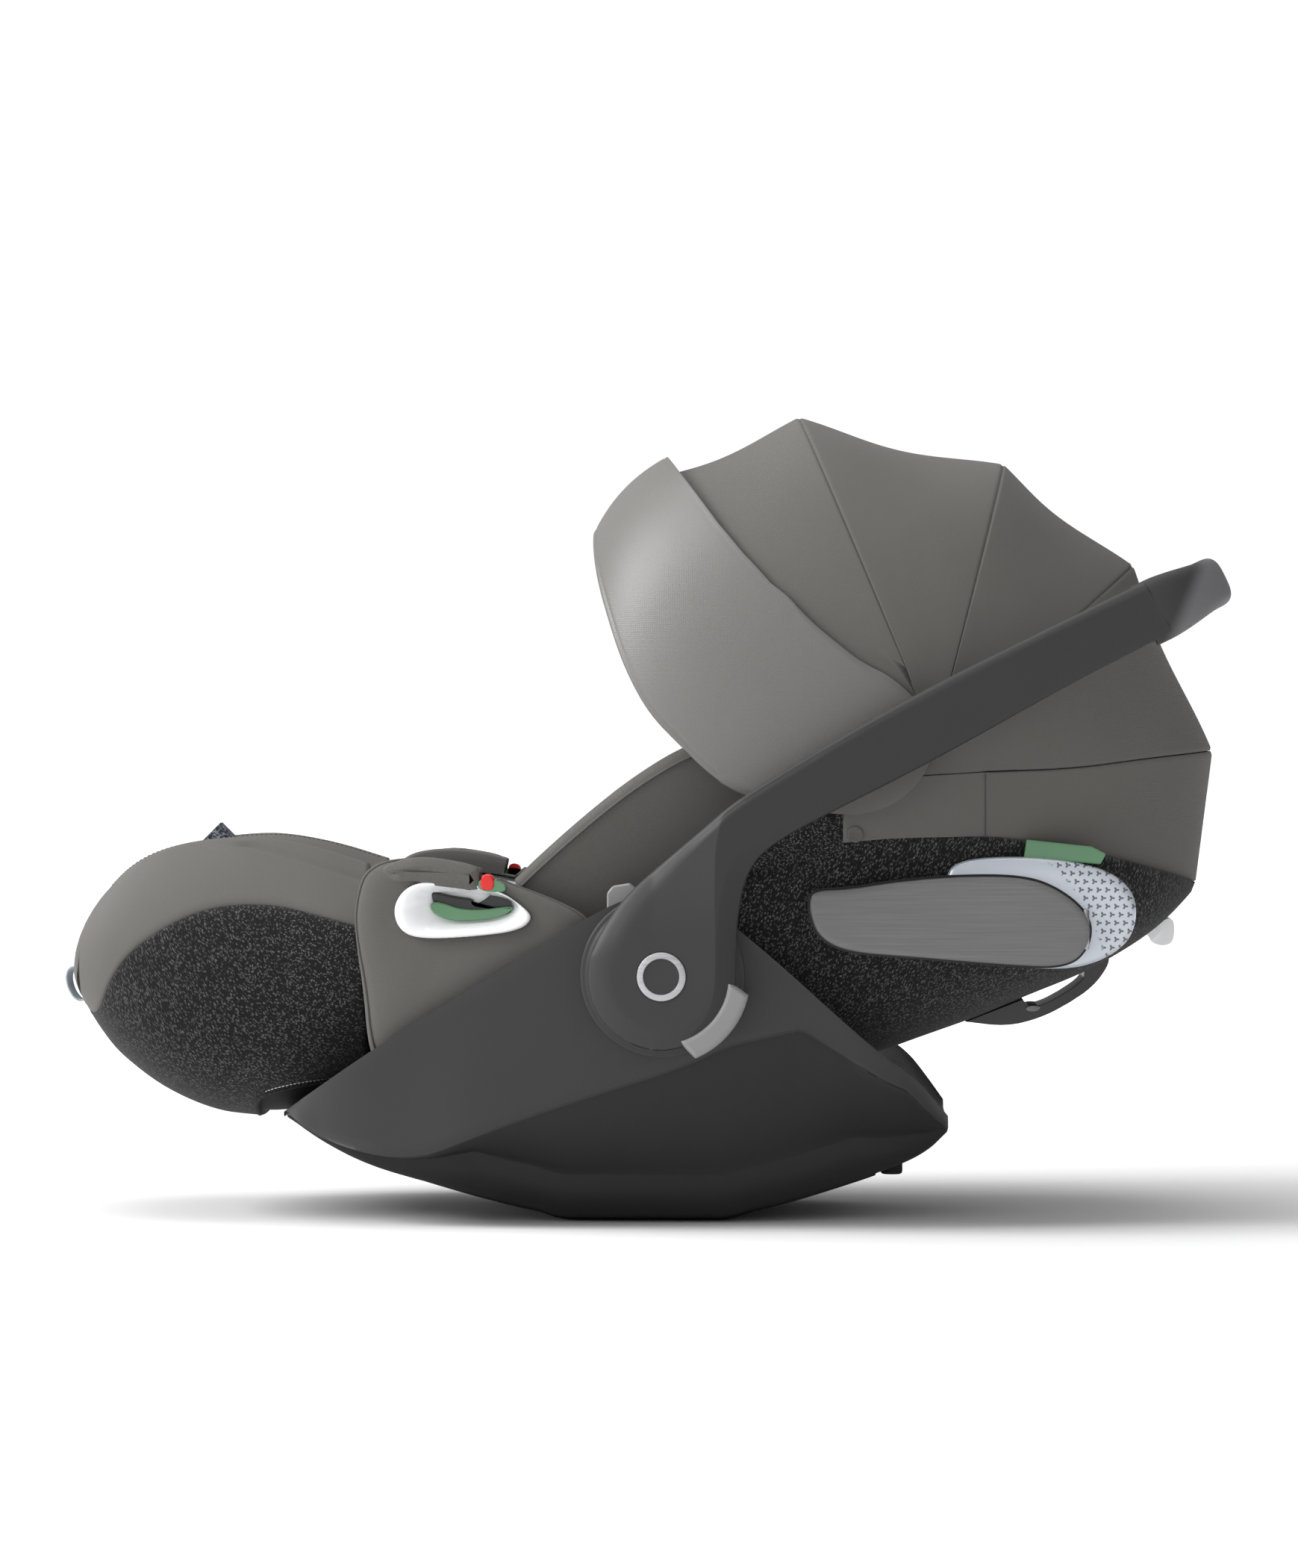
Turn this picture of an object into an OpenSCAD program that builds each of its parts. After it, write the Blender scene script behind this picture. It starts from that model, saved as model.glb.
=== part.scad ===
// Infant car seat with a rocker base, a folded-back carrying handle and a pleated canopy.
// +X points to the head end, +Z up, Y = 0 is the mirror plane.
// The origin lies on the ground under the middle of the rocker. Near side (_l) is -Y.

/* [Handle] */
// Outer half width over the handle arms
half_w = 220; // [218:1:226]
// Thickness of a handle arm
arm_t = 22; // [18:1:22]
// Radius of the handle hub disc
hub_r = 52; // [50:1:53]
// Radius of the pin that each handle arm turns on
pin_r = 12; // [10:0.5:14]

/* [Base] */
// Wall thickness of the base shell
base_wall = 4; // [3:0.5:5]
// Depth of the step under the crease on the base's side
crease_step = 4; // [2:0.5:5]
// Half length of the flat patch under the rocker
flat_half = 66; // [50:1:70]

/* [Shell and seat] */
// Wall thickness of the moulded seat shells
shell_wall = 5; // [4:0.5:6]
// Half width of the head shell
shell_half_w = 176; // [172:1:178]
// Half width of the back pad over its side bolsters
pad_half_w = 146; // [140:1:147]

/* [Canopy] */
// Half width of the canopy fabric at its pivots
canopy_w = 177; // [176:0.5:178]
// Thickness of the canopy fabric panels
cloth_t = 2; // [1.5:0.5:2.5]
// Roundness of the canopy arches, as a superellipse exponent
arch_n = 2.5; // [2.2:0.1:2.8]

/* [Hidden] */
$fn = 64;

hub = [15.7, 180.6];        // handle and recline axis, x and z
pivot = [151, 351];         // canopy axis, x and z
plate_t = 2;                // thickness of the wear plate under the rocker
arm_in = half_w - arm_t - 4;  // inner face of an arm
run_gap = 0.05;             // running clearance of a pin in its bore

// ---------- helpers ----------

// Corner cutting rounds an open list of points and keeps its ends.
function cut_open(p) = concat([p[0]],
    [for (i = [0:len(p) - 2]) each [p[i] * 0.75 + p[i + 1] * 0.25, p[i] * 0.25 + p[i + 1] * 0.75]],
    [p[len(p) - 1]]);
function soft(p) = cut_open(cut_open(p));
function cut_ring(p) = [for (i = [0:len(p) - 1])
    let (a = p[i], b = p[(i + 1) % len(p)]) each [a * 0.75 + b * 0.25, a * 0.25 + b * 0.75]];
function soft_ring(p) = cut_ring(cut_ring(p));
function mix(a, b, t) = a + (b - a) * t;
function steps(a, b, n) = [for (i = [0:n]) a + (b - a) * i / n];
function power(v, e) = v <= 0 ? 0 : pow(v, e);

// Closed sheet between two equal grids of points.
module sheet(o, q) {
    n = len(o);
    m = len(o[0]);
    k = n * m;
    pts = concat([for (r = o) each r], [for (r = q) each r]);
    top = [for (i = [0:n - 2]) for (j = [0:m - 2]) let (a = i * m + j, c = a + m)
        each [[a, a + 1, c + 1], [a, c + 1, c]]];
    under = [for (f = top) [f[2] + k, f[1] + k, f[0] + k]];
    first = [for (j = [0:m - 2]) each [[j + 1, j, j + k], [j + 1, j + k, j + 1 + k]]];
    last = [for (j = [0:m - 2]) let (b = (n - 1) * m + j)
        each [[b, b + 1, b + 1 + k], [b, b + 1 + k, b + k]]];
    left = [for (i = [0:n - 2]) let (a = i * m, c = a + m) each [[a, c, c + k], [a, c + k, a + k]]];
    right = [for (i = [0:n - 2]) let (a = i * m + m - 1, c = a + m)
        each [[c, a, a + k], [c, a + k, c + k]]];
    faces = concat(top, under, first, last, left, right);
    polyhedron(pts, [for (f = faces) [f[2], f[1], f[0]]]);
}

// Closed bar through a list of equal rings.
module rings(r) {
    n = len(r);
    m = len(r[0]);
    side = [for (i = [0:n - 2]) for (j = [0:m - 1])
        let (a = i * m + j, b = i * m + (j + 1) % m) each [[a, b, b + m], [a, b + m, a + m]]];
    caps = concat([for (j = [1:m - 2]) [0, j + 1, j]],
        [for (j = [1:m - 2]) let (s = (n - 1) * m) [s, s + j, s + j + 1]]);
    faces = concat(side, caps);
    polyhedron([for (x = r) each x], faces);
}

// Plate in the XZ plane from |y| = y0 to y1, on side s (-1 near, +1 far).
module plate(s, y0, y1) {
    translate([0, s < 0 ? -y0 : y1, 0])
        rotate([90, 0, 0])
            linear_extrude(y1 - y0)
                children();
}

// Round pin along Y at (x, z), from |y| = y0 to y1, on side s.
module pin(s, at, r, y0, y1) {
    plate(s, y0, y1) translate(at) circle(r);
}

// One row of a U: bottom centre at (x0, z0), top edges at (x1, z1).
function u_row(x0, z0, x1, z1, wb, wt, n, m) = [for (i = [0:m])
    let (a = 180 * i / m, c = cos(a), v = 1 - power(sin(a), 2 / n),
        w = mix(wb, wt, v), y = -w * sign(c) * power(abs(c), 2 / n))
    [x0 + (x1 - x0) * v, y, z0 + (z1 - z0) * v]];

// Sector of a ring between two angles.
module sector(r0, r1, a0, a1) {
    polygon(concat([for (a = steps(a0, a1, 12)) r1 * [cos(a), sin(a)]],
        [for (a = steps(a1, a0, 12)) r0 * [cos(a), sin(a)]]));
}

// ---------- base ----------

base_top = soft([[-259, 79], [-192, 126], [-139, 159], [-83, 193], [-41, 219], [-12, 234], [15, 240],
    [42, 233], [69, 213], [101, 186], [137, 153], [174, 120], [192, 109], [206, 92], [218, 76]]);
base_low = soft([[-259, 71], [-235, 55], [-200, 38], [-158, 26], [-115, 14], [-flat_half, 3],
    [0, 0], [flat_half, 3], [100, 11], [126, 18.5], [176, 34], [203, 46], [218, 61]]);
crease = soft([[-259, 72], [-176, 44], [-104, 73], [-33, 97], [31, 117], [61, 132], [93, 139],
    [128, 146], [149, 141], [190, 95], [218, 66]]);
base_w = soft([[-259, 108], [-245, 138], [-225, 162], [-200, 176], [-150, 183], [-60, 188], [15, 190],
    [100, 189], [150, 184], [180, 170], [200, 148], [218, 112]]);
base_bottom_w = soft([[-259, 84], [-200, 112], [-100, 126], [0, 130], [100, 126], [176, 110], [218, 80]]);
base_x = concat(steps(-259, -200, 4), steps(-182, 170, 17), steps(181, 218, 4));

function floor_z(x) = abs(x) < flat_half ? 0 : lookup(x, base_low);
function base_half(x) = let (zt = lookup(x, base_top), zb = floor_z(x) + plate_t, h = zt - zb,
    wt = lookup(x, base_w), wb = lookup(x, base_bottom_w),
    zc = min(max(lookup(x, crease), zb + h * 0.35), zt - h * 0.2),
    d = crease_step * min(1, max(0, (150 - x) / 40), max(0, (x + 190) / 40)),
    r = min(34, h * 0.3), wc = mix(wb, wt, 0.86))
    [[wt, zt], [mix(wt, wc, 0.45) + 1, mix(zt, zc, 0.5)], [wc, zc], [wc - d, zc - d * 0.8],
     [mix(wc - d, wb, 0.45) + 4, mix(zc, zb + r, 0.5)], [wb, zb + r], [wb - r * 0.25, zb + r * 0.4],
     [wb - r * 0.75, zb + r * 0.06], [wb - r * 1.2, zb], [wb * 0.3, zb], [0, zb]];
wall_in = [1, 1, 1, 1, 1, 0.9, 0.6, 0.3, 0, 0, 0];  // how far each point of a half moves in
wall_up = [0, 0, 0, 0, 0, 0.4, 0.8, 1, 1, 1, 1];    // how far it moves up
function base_half_in(x) = let (p = base_half(x), zt = p[0][1])
    [for (k = [0:10]) [max(p[k][0] - base_wall * wall_in[k], 0),
        min(p[k][1] + base_wall * wall_up[k], zt - (k == 0 ? 0 : 0.6))]];
function mirror_row(x, h) = concat([for (p = h) [x, -p[0], p[1]]],
    [for (k = [9:-1:0]) [x, h[k][0], h[k][1]]]);

module base_shell() {
    color([0.26, 0.26, 0.265])
        difference() {
            sheet([for (x = base_x) mirror_row(x, base_half(x))],
                [for (x = base_x) mirror_row(x, base_half_in(x))]);
            for (s = [-1, 1])
                pin(s, hub, 56, 150, 200);
        }
}

// Wear plate under the rocker, which the seat stands on.
module skid_plate() {
    xs = steps(-172, 166, 26);
    ys = steps(-1, 1, 4);
    color([0.15, 0.15, 0.16])
        sheet([for (x = xs) [for (k = ys) [x, k * (lookup(x, base_bottom_w) - 36), floor_z(x)]]],
            [for (x = xs) [for (k = ys) [x, k * (lookup(x, base_bottom_w) - 36), floor_z(x) + plate_t]]]);
}

module rocker_feet() {
    color([0.12, 0.12, 0.13])
        for (s = [-1, 1])
            translate([178, s * 60, floor_z(178) - 4])
                cylinder(h = 8, r = 8);
}

module latch_bars() {
    color([0.6, 0.6, 0.62])
        for (x = [-120, 120])
            translate([x, 0, lookup(x, base_low) + 24])
                rotate([90, 0, 0])
                    cylinder(h = 2 * lookup(x, base_bottom_w) - 14, r = 5, center = true);
}

module hub_bearings() {
    color([0.24, 0.24, 0.245])
        for (s = [-1, 1])
            difference() {
                pin(s, hub, 55.9, 176, arm_in - 0.5);
                pin(s, hub, pin_r, 170, half_w);
            }
}

module hub_pins() {
    color([0.62, 0.62, 0.64])
        for (s = [-1, 1]) {
            pin(s, hub, pin_r, 176, half_w - 8.5);
            pin(s, hub, pin_r + 6, 170, 176);
        }
}

// ---------- seat ----------

pan_top = soft([[-158, 205], [-112, 212], [-70, 212], [-30, 208], [-2, 200]]);
pan_low = soft([[-158, 103], [-108, 103], [-50, 91], [-2, 87]]);
module seat_pan() {
    xs = steps(-158, -2, 10);
    color([0.2, 0.2, 0.21]) {
        sheet([for (x = xs) u_row(x, lookup(x, pan_low), x, lookup(x, pan_top), 147, 151.5, 5, 22)],
            [for (x = xs) u_row(x, lookup(x, pan_low) + shell_wall, x, lookup(x, pan_top), 142.5, 147.5,
                5, 22)]);
        for (x = [-143, -32])
            for (y = [-80, 80])
                translate([x, y, floor_z(x) + plate_t + base_wall - 1])
                    cylinder(h = lookup(x, pan_low) + 2 - floor_z(x) - plate_t - base_wall + 1, r = 9);
    }
}

module seat_cushion() {
    color([0.41, 0.4, 0.39])
        hull()
            for (y = [-92, 92])
                for (p = [[-108, 131], [-50, 119.5]])
                    translate([p[0], y, p[1]])
                        sphere(r = 17, $fn = 24);
}

cover_edge = soft_ring([[-204, 228], [-196, 258], [-158, 264], [-112, 256], [-98, 246], [-63, 234],
    [-34, 219], [-38, 200], [-83, 172], [-139, 138], [-186, 112], [-194, 130], [-197, 168], [-203, 205]]);
slot_edge = soft_ring([[-150, 235], [-146, 239], [-100, 236], [-88, 229], [-98, 221], [-128, 218],
    [-142, 221]]);
guide_edge = soft_ring([[-176, 228], [-166, 243], [-146, 247], [-104, 242], [-84, 229], [-76, 220],
    [-86, 211], [-118, 207], [-158, 205], [-172, 212]]);

module side_cover(s) {
    color([0.41, 0.4, 0.39])
        difference() {
            plate(s, 153, 168) polygon(cover_edge);
            plate(s, 150, 170) polygon(slot_edge);
        }
}

module belt_guide(s) {
    color([0.97, 0.97, 0.98])
        difference() {
            plate(s, 168, 173) polygon(guide_edge);
            plate(s, 165, 175) polygon(slot_edge);
        }
}

module guide_liners() {
    color([0.43, 0.59, 0.45])
        for (s = [-1, 1])
            plate(s, 154, 167.5)
                intersection() {
                    offset(-0.3) polygon(slot_edge);
                    translate([-160, 215]) square([80, 10]);
                }
}

module belt_latches() {
    color([0.88, 0.1, 0.08])
        for (s = [-1, 1])
            plate(s, 168.2, 172)
                polygon([[-113, 242.5], [-104, 241.5], [-102, 250], [-112, 252]]);
}

module crotch_strap() {
    color([0.16, 0.16, 0.16])
        rotate([90, 0, 0])
            linear_extrude(38, center = true)
                polygon([[-93, 138], [-90, 138], [-79, 168], [-82, 168]]);
}

module buckle_at() {
    translate([-81, 0, 168.2])
        rotate([0, 20, 0])
            children();
}

module buckle() {
    color([0.15, 0.15, 0.155])
        buckle_at()
            difference() {
                hull()
                    for (y = [-22, 22])
                        translate([0, y, 7])
                            rotate([0, 90, 0])
                                cylinder(h = 15, r = 7, center = true);
                translate([-2, -13, 3.5]) cube([12, 26, 11]);
            }
}

module buckle_button() {
    color([0.88, 0.1, 0.08])
        buckle_at()
            translate([2.6, -12, 4.5])
                cube([6.4, 24, 9]);
}

module strap_tongues() {
    color([0.55, 0.55, 0.57])
        buckle_at()
            for (s = [-1, 1])
                translate([-6, s * 14 - 5, 14.2])
                    cube([3, 10, 10]);
}

module adjuster() {
    color([0.14, 0.14, 0.15])
        difference() {
            translate([-141, -20, 108.4]) cube([14, 40, 21.6]);
            translate([-135, -9, 124]) cube([9, 18, 7]);
        }
}

module adjuster_button() {
    color([0.55, 0.55, 0.56])
        translate([-134, -8, 127.6])
            cube([6.5, 16, 5]);
}

module adjuster_strap() {
    color([0.16, 0.16, 0.16])
        rotate([90, 0, 0])
            linear_extrude(24, center = true)
                polygon([[-141, 118], [-141, 120], [-147, 119], [-157, 112], [-156, 110.5], [-147, 117]]);
}

module adapter_button(s) {
    color([0.6, 0.6, 0.61])
        plate(s, 166, 175.5)
            polygon([[-24, 224], [-24, 238], [-20, 243], [-8, 245], [-3, 241], [-3, 228]]);
}

// ---------- leg rest ----------

leg_top = soft([[-421, 180], [-414, 209], [-402, 231], [-387, 246], [-368, 259], [-347, 268], [-326, 273],
    [-300, 276], [-275, 276], [-237, 269], [-199, 257]]);
leg_low = soft([[-421, 172], [-408, 146], [-391, 121], [-380, 110], [-358, 93], [-335, 81], [-312, 73],
    [-293, 71], [-270, 86], [-240, 105], [-199, 133]]);
leg_w = soft([[-421, 34], [-414, 84], [-402, 103], [-387, 117], [-358, 131], [-315, 140], [-260, 144],
    [-199, 146]]);
leg_seam = soft([[-421, 172], [-386, 166], [-380, 179], [-370, 192], [-354, 205], [-332, 218],
    [-310, 226], [-287, 229], [-260, 228], [-236, 222], [-199, 212]]);
leg_x = concat([-421, -417, -412, -405], steps(-396, -199, 12));
leg_n = 2.5;
crest = 0.16;       // how far the side bolsters rise over the plain section

// Point of the leg rest's section at x and angle a, drawn in by d.
function leg_point(x, a, d) = let (zt = lookup(x, leg_top), zb = lookup(x, leg_low),
    h = (zt - zb) / 2, hh = max(h - d, h * 0.55), w = lookup(x, leg_w), ww = max(w - d, w * 0.8),
    y = ww * sign(cos(a)) * power(abs(cos(a)), 2 / leg_n),
    fade = min(1, max(0, (x + 395) / 90)),
    bowl = 58 * fade * power(max(0, 1 - pow(y / 92, 2)), 1.5),
    lift = 1 + crest * fade * power(max(0, sin(a)), 0.5),
    z = (zt + zb) / 2 + hh * lift * sign(sin(a)) * power(abs(sin(a)), 2 / leg_n))
    [x, y, z - (sin(a) > 0 ? bowl : 0)];
function seam_angle(x) = let (zt = lookup(x, leg_top), zb = lookup(x, leg_low), h = (zt - zb) / 2,
    v = (lookup(x, leg_seam) - (zt + zb) / 2) / h)
    asin(sign(v) * power(min(0.98, abs(v)), leg_n / 2));
function leg_grid(a0, a1, m, d, lap) = [for (x = leg_x) let (s = seam_angle(x))
    [for (j = [0:m]) leg_point(x, mix(a0 + (a0 > 90 ? -s : s), a1 + (a1 > 360 ? s : -s), j / m)
        + (j == 0 ? lap : j == m ? -lap : 0), d)]];

module leg_pad() {
    color([0.41, 0.4, 0.39])
        sheet(leg_grid(0, 180, 22, 0, 0.4), leg_grid(0, 180, 22, 8, 0.4));
}

module leg_sling() {
    color([0.13, 0.13, 0.13])
        sheet(leg_grid(180, 360.01, 18, 0, 0.4), leg_grid(180, 360.01, 18, 4, 0.4));
}

module leg_shell() {
    color([0.2, 0.2, 0.21])
        sheet([for (x = steps(-385, -200, 12)) [for (a = steps(205, 335, 16)) leg_point(x, a, 4.5)]],
            [for (x = steps(-385, -200, 12)) [for (a = steps(205, 335, 16)) leg_point(x, a, 10)]]);
}

module pull_loop() {
    color([0.5, 0.53, 0.57])
        rotate([90, 0, 0])
            linear_extrude(16, center = true)
                translate([-420.5, 165.5])
                    rotate(18)
                        difference() {
                            scale([0.62, 1]) circle(11.5);
                            scale([0.42, 0.78]) circle(11.5);
                        }
}

module leg_label() {
    color([0.3, 0.31, 0.33])
        translate([-326, -104, 268])
            rotate([0, -12, 0])
                cube([22, 16, 8]);
}

// ---------- backrest ----------

arc_n = 2.5;
shell_low = soft([[20, 104], [60, 99], [100, 102], [140, 110], [174, 120], [201, 130], [238, 143],
    [275, 159], [318, 178], [346, 197], [363, 210], [380, 224], [396, 238]]);
shell_top = soft([[20, 236], [45, 252], [69, 264], [147, 274], [187, 277], [239, 277], [268, 274],
    [304, 268], [342, 259], [369, 251], [396, 243]]);
function shell_w(x) = x < 150 ? shell_half_w - 2 * (150 - x) / 130
    : shell_half_w * power(1 - pow((x - 150) / 252, 3.4), 0.4);
shell_x = concat(steps(20, 320, 12), [338, 354, 368, 380, 389, 396]);
module head_shell() {
    color([0.13, 0.13, 0.13])
        sheet([for (x = shell_x) u_row(x, lookup(x, shell_low), x, lookup(x, shell_top),
                shell_w(x) - 14, shell_w(x), 3.2, 22)],
            [for (x = shell_x) let (w = shell_w(x), zt = lookup(x, shell_top))
                u_row(x, min(lookup(x, shell_low) + shell_wall, zt - 1), x, zt,
                    max(w - 14 - shell_wall, w * 0.5), max(w - shell_wall, w * 0.8), 3.2, 22)]);
}

pad_floor = cut_open([[-38, 166], [-20, 160], [8, 158], [42, 163], [92, 172], [150, 184], [220, 199],
    [290, 217], [345, 236], [366, 250]]);
pad_rim = cut_open([[-88, 248], [-73, 266], [-43, 295], [-6, 323], [40, 347], [95, 352], [180, 346],
    [258, 325], [322, 292], [358, 266]]);
module back_pad() {
    n = len(pad_floor);
    wide = [for (k = [0:n - 1]) let (t = k / (n - 1))
        pad_half_w * power(1 - pow(max(0, (t - 0.45) / 0.6), 2.6), 0.5)];
    color([0.4, 0.39, 0.38])
        sheet([for (k = [0:n - 1]) u_row(pad_floor[k][0], pad_floor[k][1] - 14, pad_rim[k][0],
                pad_rim[k][1], wide[k] - 8, wide[k], 4, 24)],
            [for (k = [0:n - 1]) u_row(pad_floor[k][0], pad_floor[k][1], pad_rim[k][0],
                pad_rim[k][1], wide[k] - 29, wide[k] - 20, 4, 24)]);
}

module belt_hook() {
    color([0.08, 0.08, 0.085])
        rotate([90, 0, 0])
            linear_extrude(70, center = true)
                polygon(concat(soft([[232, 140.5], [262, 137], [286, 143], [306, 153], [325, 166],
                    [336, 181], [337, 189]]), [[327, 182]], soft([[319, 177.5], [318, 171], [304, 161],
                    [288, 152.5], [277, 151], [274, 157]])));
}

module rear_guides() {
    color([0.43, 0.59, 0.45])
        for (s = [-1, 1])
            plate(s, 163, 176)
                polygon([[270, 262.5], [324, 258.5], [328, 266], [318, 271], [272, 276]]);
}

housing_edge = soft_ring([[214, 252], [226, 262], [262, 264.5], [300, 262], [331, 254], [347, 240],
    [350, 222], [344, 204], [326, 191], [300, 184], [250, 187], [226, 192], [216, 220]]);
plate_edge = soft_ring([[119, 232], [122, 240], [148, 241], [177, 246], [220, 250], [270, 250],
    [296, 240], [316, 222], [316, 202], [300, 186], [248, 189], [187, 194], [146, 197], [126, 207],
    [120, 222]]);
lsp_hinge = [313.5, 212];     // x and z of the middle of the plate's hinge
lsp_y = 185.5;              // |y| of the hinge

module hinge_bore(s, r) {
    translate([lsp_hinge[0], s * lsp_y, lsp_hinge[1] - 40])
        cylinder(h = 80, r = r, $fn = 32);
}

housing_mid = [284, 224];    // middle of the housing, x and z
module housing_core(k) {
    translate(housing_mid) scale(k) translate(-housing_mid) polygon(housing_edge);
}

module lsp_housing(s) {
    rows = 6;
    color([0.84, 0.86, 0.89])
        difference() {
            union() {
                plate(s, 174, 180.4) polygon(housing_edge);
                plate(s, 140, 175)
                    difference() {
                        housing_core(0.86);
                        housing_core(0.8);
                    }
                for (z = [lsp_hinge[1] - 25, lsp_hinge[1] + 19])
                    translate([lsp_hinge[0] - 5, s * 184.9 - 5.1, z])
                        cube([10, 10.2, 6]);
            }
            hinge_bore(s, 2);
            for (i = [0:rows - 1])
                for (j = [0:4])
                    plate(s, 170, 185)
                        translate([322 + (i % 2) * 2.8 + j * 5.6, 200 + i * 10])
                            circle(r = i + j > 7 || j > 3 ? 0.6 : 1.3, $fn = 16);
        }
}

module lsp_pins() {
    color([0.7, 0.7, 0.72])
        for (s = [-1, 1])
            translate([lsp_hinge[0], s * lsp_y, lsp_hinge[1] - 26])
                cylinder(h = 52, r = 2, $fn = 32);
}

module lsp_plate(s) {
    color([0.46, 0.46, 0.46])
        difference() {
            intersection() {
                plate(s, 181.4, 189.6) polygon(plate_edge);
                translate([0, -250, lsp_hinge[1] - 200]) cube([400, 500, 400]);
            }
            hinge_bore(s, 2 + run_gap);
            for (z = [lsp_hinge[1] - 29, lsp_hinge[1] + 18])
                translate([lsp_hinge[0] - 9, s * lsp_y - 9, z])
                    cube([18, 18, 11]);
        }
}

lever_axis = [369, 205];     // x and z
module recline_lever() {
    color([0.95, 0.95, 0.96])
        rotate([90, 0, 0])
            linear_extrude(40, center = true)
                polygon(soft_ring([[367, 198], [366, 208], [374, 213], [385, 217], [385, 199], [378, 195]]));
    for (s = [-1, 1])
        pin(s, lever_axis, 4, 12, 23);
}

// ---------- headrest and harness ----------

module headrest() {
    ks = steps(0, 1, 8);
    wide = [for (k = ks) 104 * power(1 - pow(max(0, (k - 0.3) / 0.75), 2.6), 0.5)];
    color([0.36, 0.36, 0.35])
        sheet([for (i = [0:8]) let (k = ks[i]) u_row(mix(196, 318, k), mix(196.5, 228.5, k) + 0.5,
                mix(178, 300, k), mix(288, 300, k), wide[i] - 6, wide[i], 3.4, 22)],
            [for (i = [0:8]) let (k = ks[i]) u_row(mix(196, 318, k), mix(214, 246, k),
                mix(178, 300, k), mix(288, 300, k), wide[i] - 26, wide[i] - 18, 3.4, 22)]);
}

strap_line = [[196, 217], [150, 195], [100, 184], [50, 174], [10, 170], [-30, 175], [-76, 189]];
module strap_run(y0, y1, w, t, lift, i0, i1) {
    pts = soft([for (i = [i0:i1]) strap_line[i]]);
    n = len(pts);
    rings([for (k = [0:n - 1]) let (p = pts[k], y = mix(y0, y1, k / (n - 1)), z = p[1] + lift)
        [[p[0], y - w / 2, z], [p[0], y + w / 2, z], [p[0], y + w / 2, z + t], [p[0], y - w / 2, z + t]]]);
}

module shoulder_pads() {
    color([0.3, 0.3, 0.3])
        for (s = [-1, 1])
            strap_run(s * 46, s * 38, 44, 9, 1.8, 1, 3);
}

module shoulder_straps() {
    color([0.16, 0.16, 0.16])
        for (s = [-1, 1])
            strap_run(s * 48, s * 16, 25, 1.6, 0, 0, 6);
}

// ---------- canopy ----------

// Point of an arch: pivot plane at angle a, arch angle f from 0 (near side) to 180.
function arch(a, r, w, f) = let (q = r * power(sin(f), 2 / arch_n),
    y = -w * sign(cos(f)) * power(abs(cos(f)), 2 / arch_n))
    [pivot[0] + q * cos(a), y, pivot[1] + q * sin(a)];

rib_t = 3;        // thickness of a rib band
rib_b = 9;        // breadth of a rib band
rib_step = 4;     // each rib sits this much further out than the one behind it
eye_r = 9;        // radius of a rib's eye at the pivot
mount_pin_r = 5;  // radius of the canopy's pivot pin
ridge = [235, 225, 238, 262];       // outer radius of the fabric at ribs 1 to 4
rib_a = [100, 61, 31, -3];          // angle of each rib
dip = [12, 14, 17, 13];             // how far each panel sags between its ribs
rib_w = [for (k = [0:3]) canopy_w - cloth_t - 3.6 - k * rib_step];  // outer half width

module rib(k) {
    r = ridge[k] - cloth_t - 3;
    w = rib_w[k];
    color([0.1, 0.1, 0.1])
        difference() {
            union() {
                rings([for (f = concat([0.6, 1.6, 3.2, 5.5], steps(8, 172, 36), [174.5, 176.8, 178.4, 179.4]))
                    let (d = rib_b / 2)
                    [for (c = [[r, w, -1], [r, w, 1], [r - rib_t, w - rib_t, 1], [r - rib_t, w - rib_t, -1]])
                        let (p = arch(rib_a[k], c[0], c[1], f)) p + c[2] * d * [-sin(rib_a[k]), 0,
                            cos(rib_a[k])]]]);
                for (s = [-1, 1])
                    pin(s, pivot, eye_r, w - rib_t, w);
            }
            for (s = [-1, 1])
                pin(s, pivot, mount_pin_r + run_gap, 100, 200);
        }
}

// Fabric between two ribs, from angle a0 to a1, with its ridges at r0 and r1.
module panel(a0, a1, r0, r1, w0, w1, sag) {
    ts = steps(0, 1, 8);
    fs = steps(8, 172, 34);
    function grid(d) = [for (t = ts) [for (f = fs) let (g = power(sin(f), 2))
        arch(mix(a0, a1, t), mix(r0, r1, t) - sag * sin(180 * t) * g - d, mix(w0, w1, t) - d, f)]];
    color([0.41, 0.4, 0.385])
        sheet(grid(0), grid(cloth_t));
}

module rear_curtain() {
    ts = steps(0, 1, 5);
    fs = steps(-90, 90, 40);
    function edge(f, r, z) = [pivot[0] + r * power(cos(f), 2 / arch_n),
        canopy_w * sign(sin(f)) * power(abs(sin(f)), 2 / arch_n), z];
    function grid(d) = [for (t = ts) [for (f = fs)
        let (hi = edge(f, 262 - d, 0), lo = edge(f, 250 - d, 0),
            x = mix(lo[0], hi[0], t), y = mix(lo[1], hi[1], t) * (1 - d / canopy_w),
            zl = lookup(x, shell_top) + 0.6, zh = pivot[1] - 0.9 - (x - pivot[0]) * tan(3))
        [x, y, mix(zl, zh, t)]]];
    color([0.41, 0.4, 0.385])
        sheet(grid(0), grid(cloth_t));
}

module canopy_mounts() {
    color([0.12, 0.12, 0.12])
        for (s = [-1, 1]) {
            pin(s, pivot, mount_pin_r, 152, 180);
            plate(s, 146.5, 152)
                polygon(concat([for (a = steps(200, -20, 12)) pivot + 15 * [cos(a), sin(a)]],
                    [[176, 288], [126, 288]]));
            plate(s, 146.5, 171)
                polygon([[120, 262], [180, 262], [176, 288], [126, 288]]);
        }
}

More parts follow.
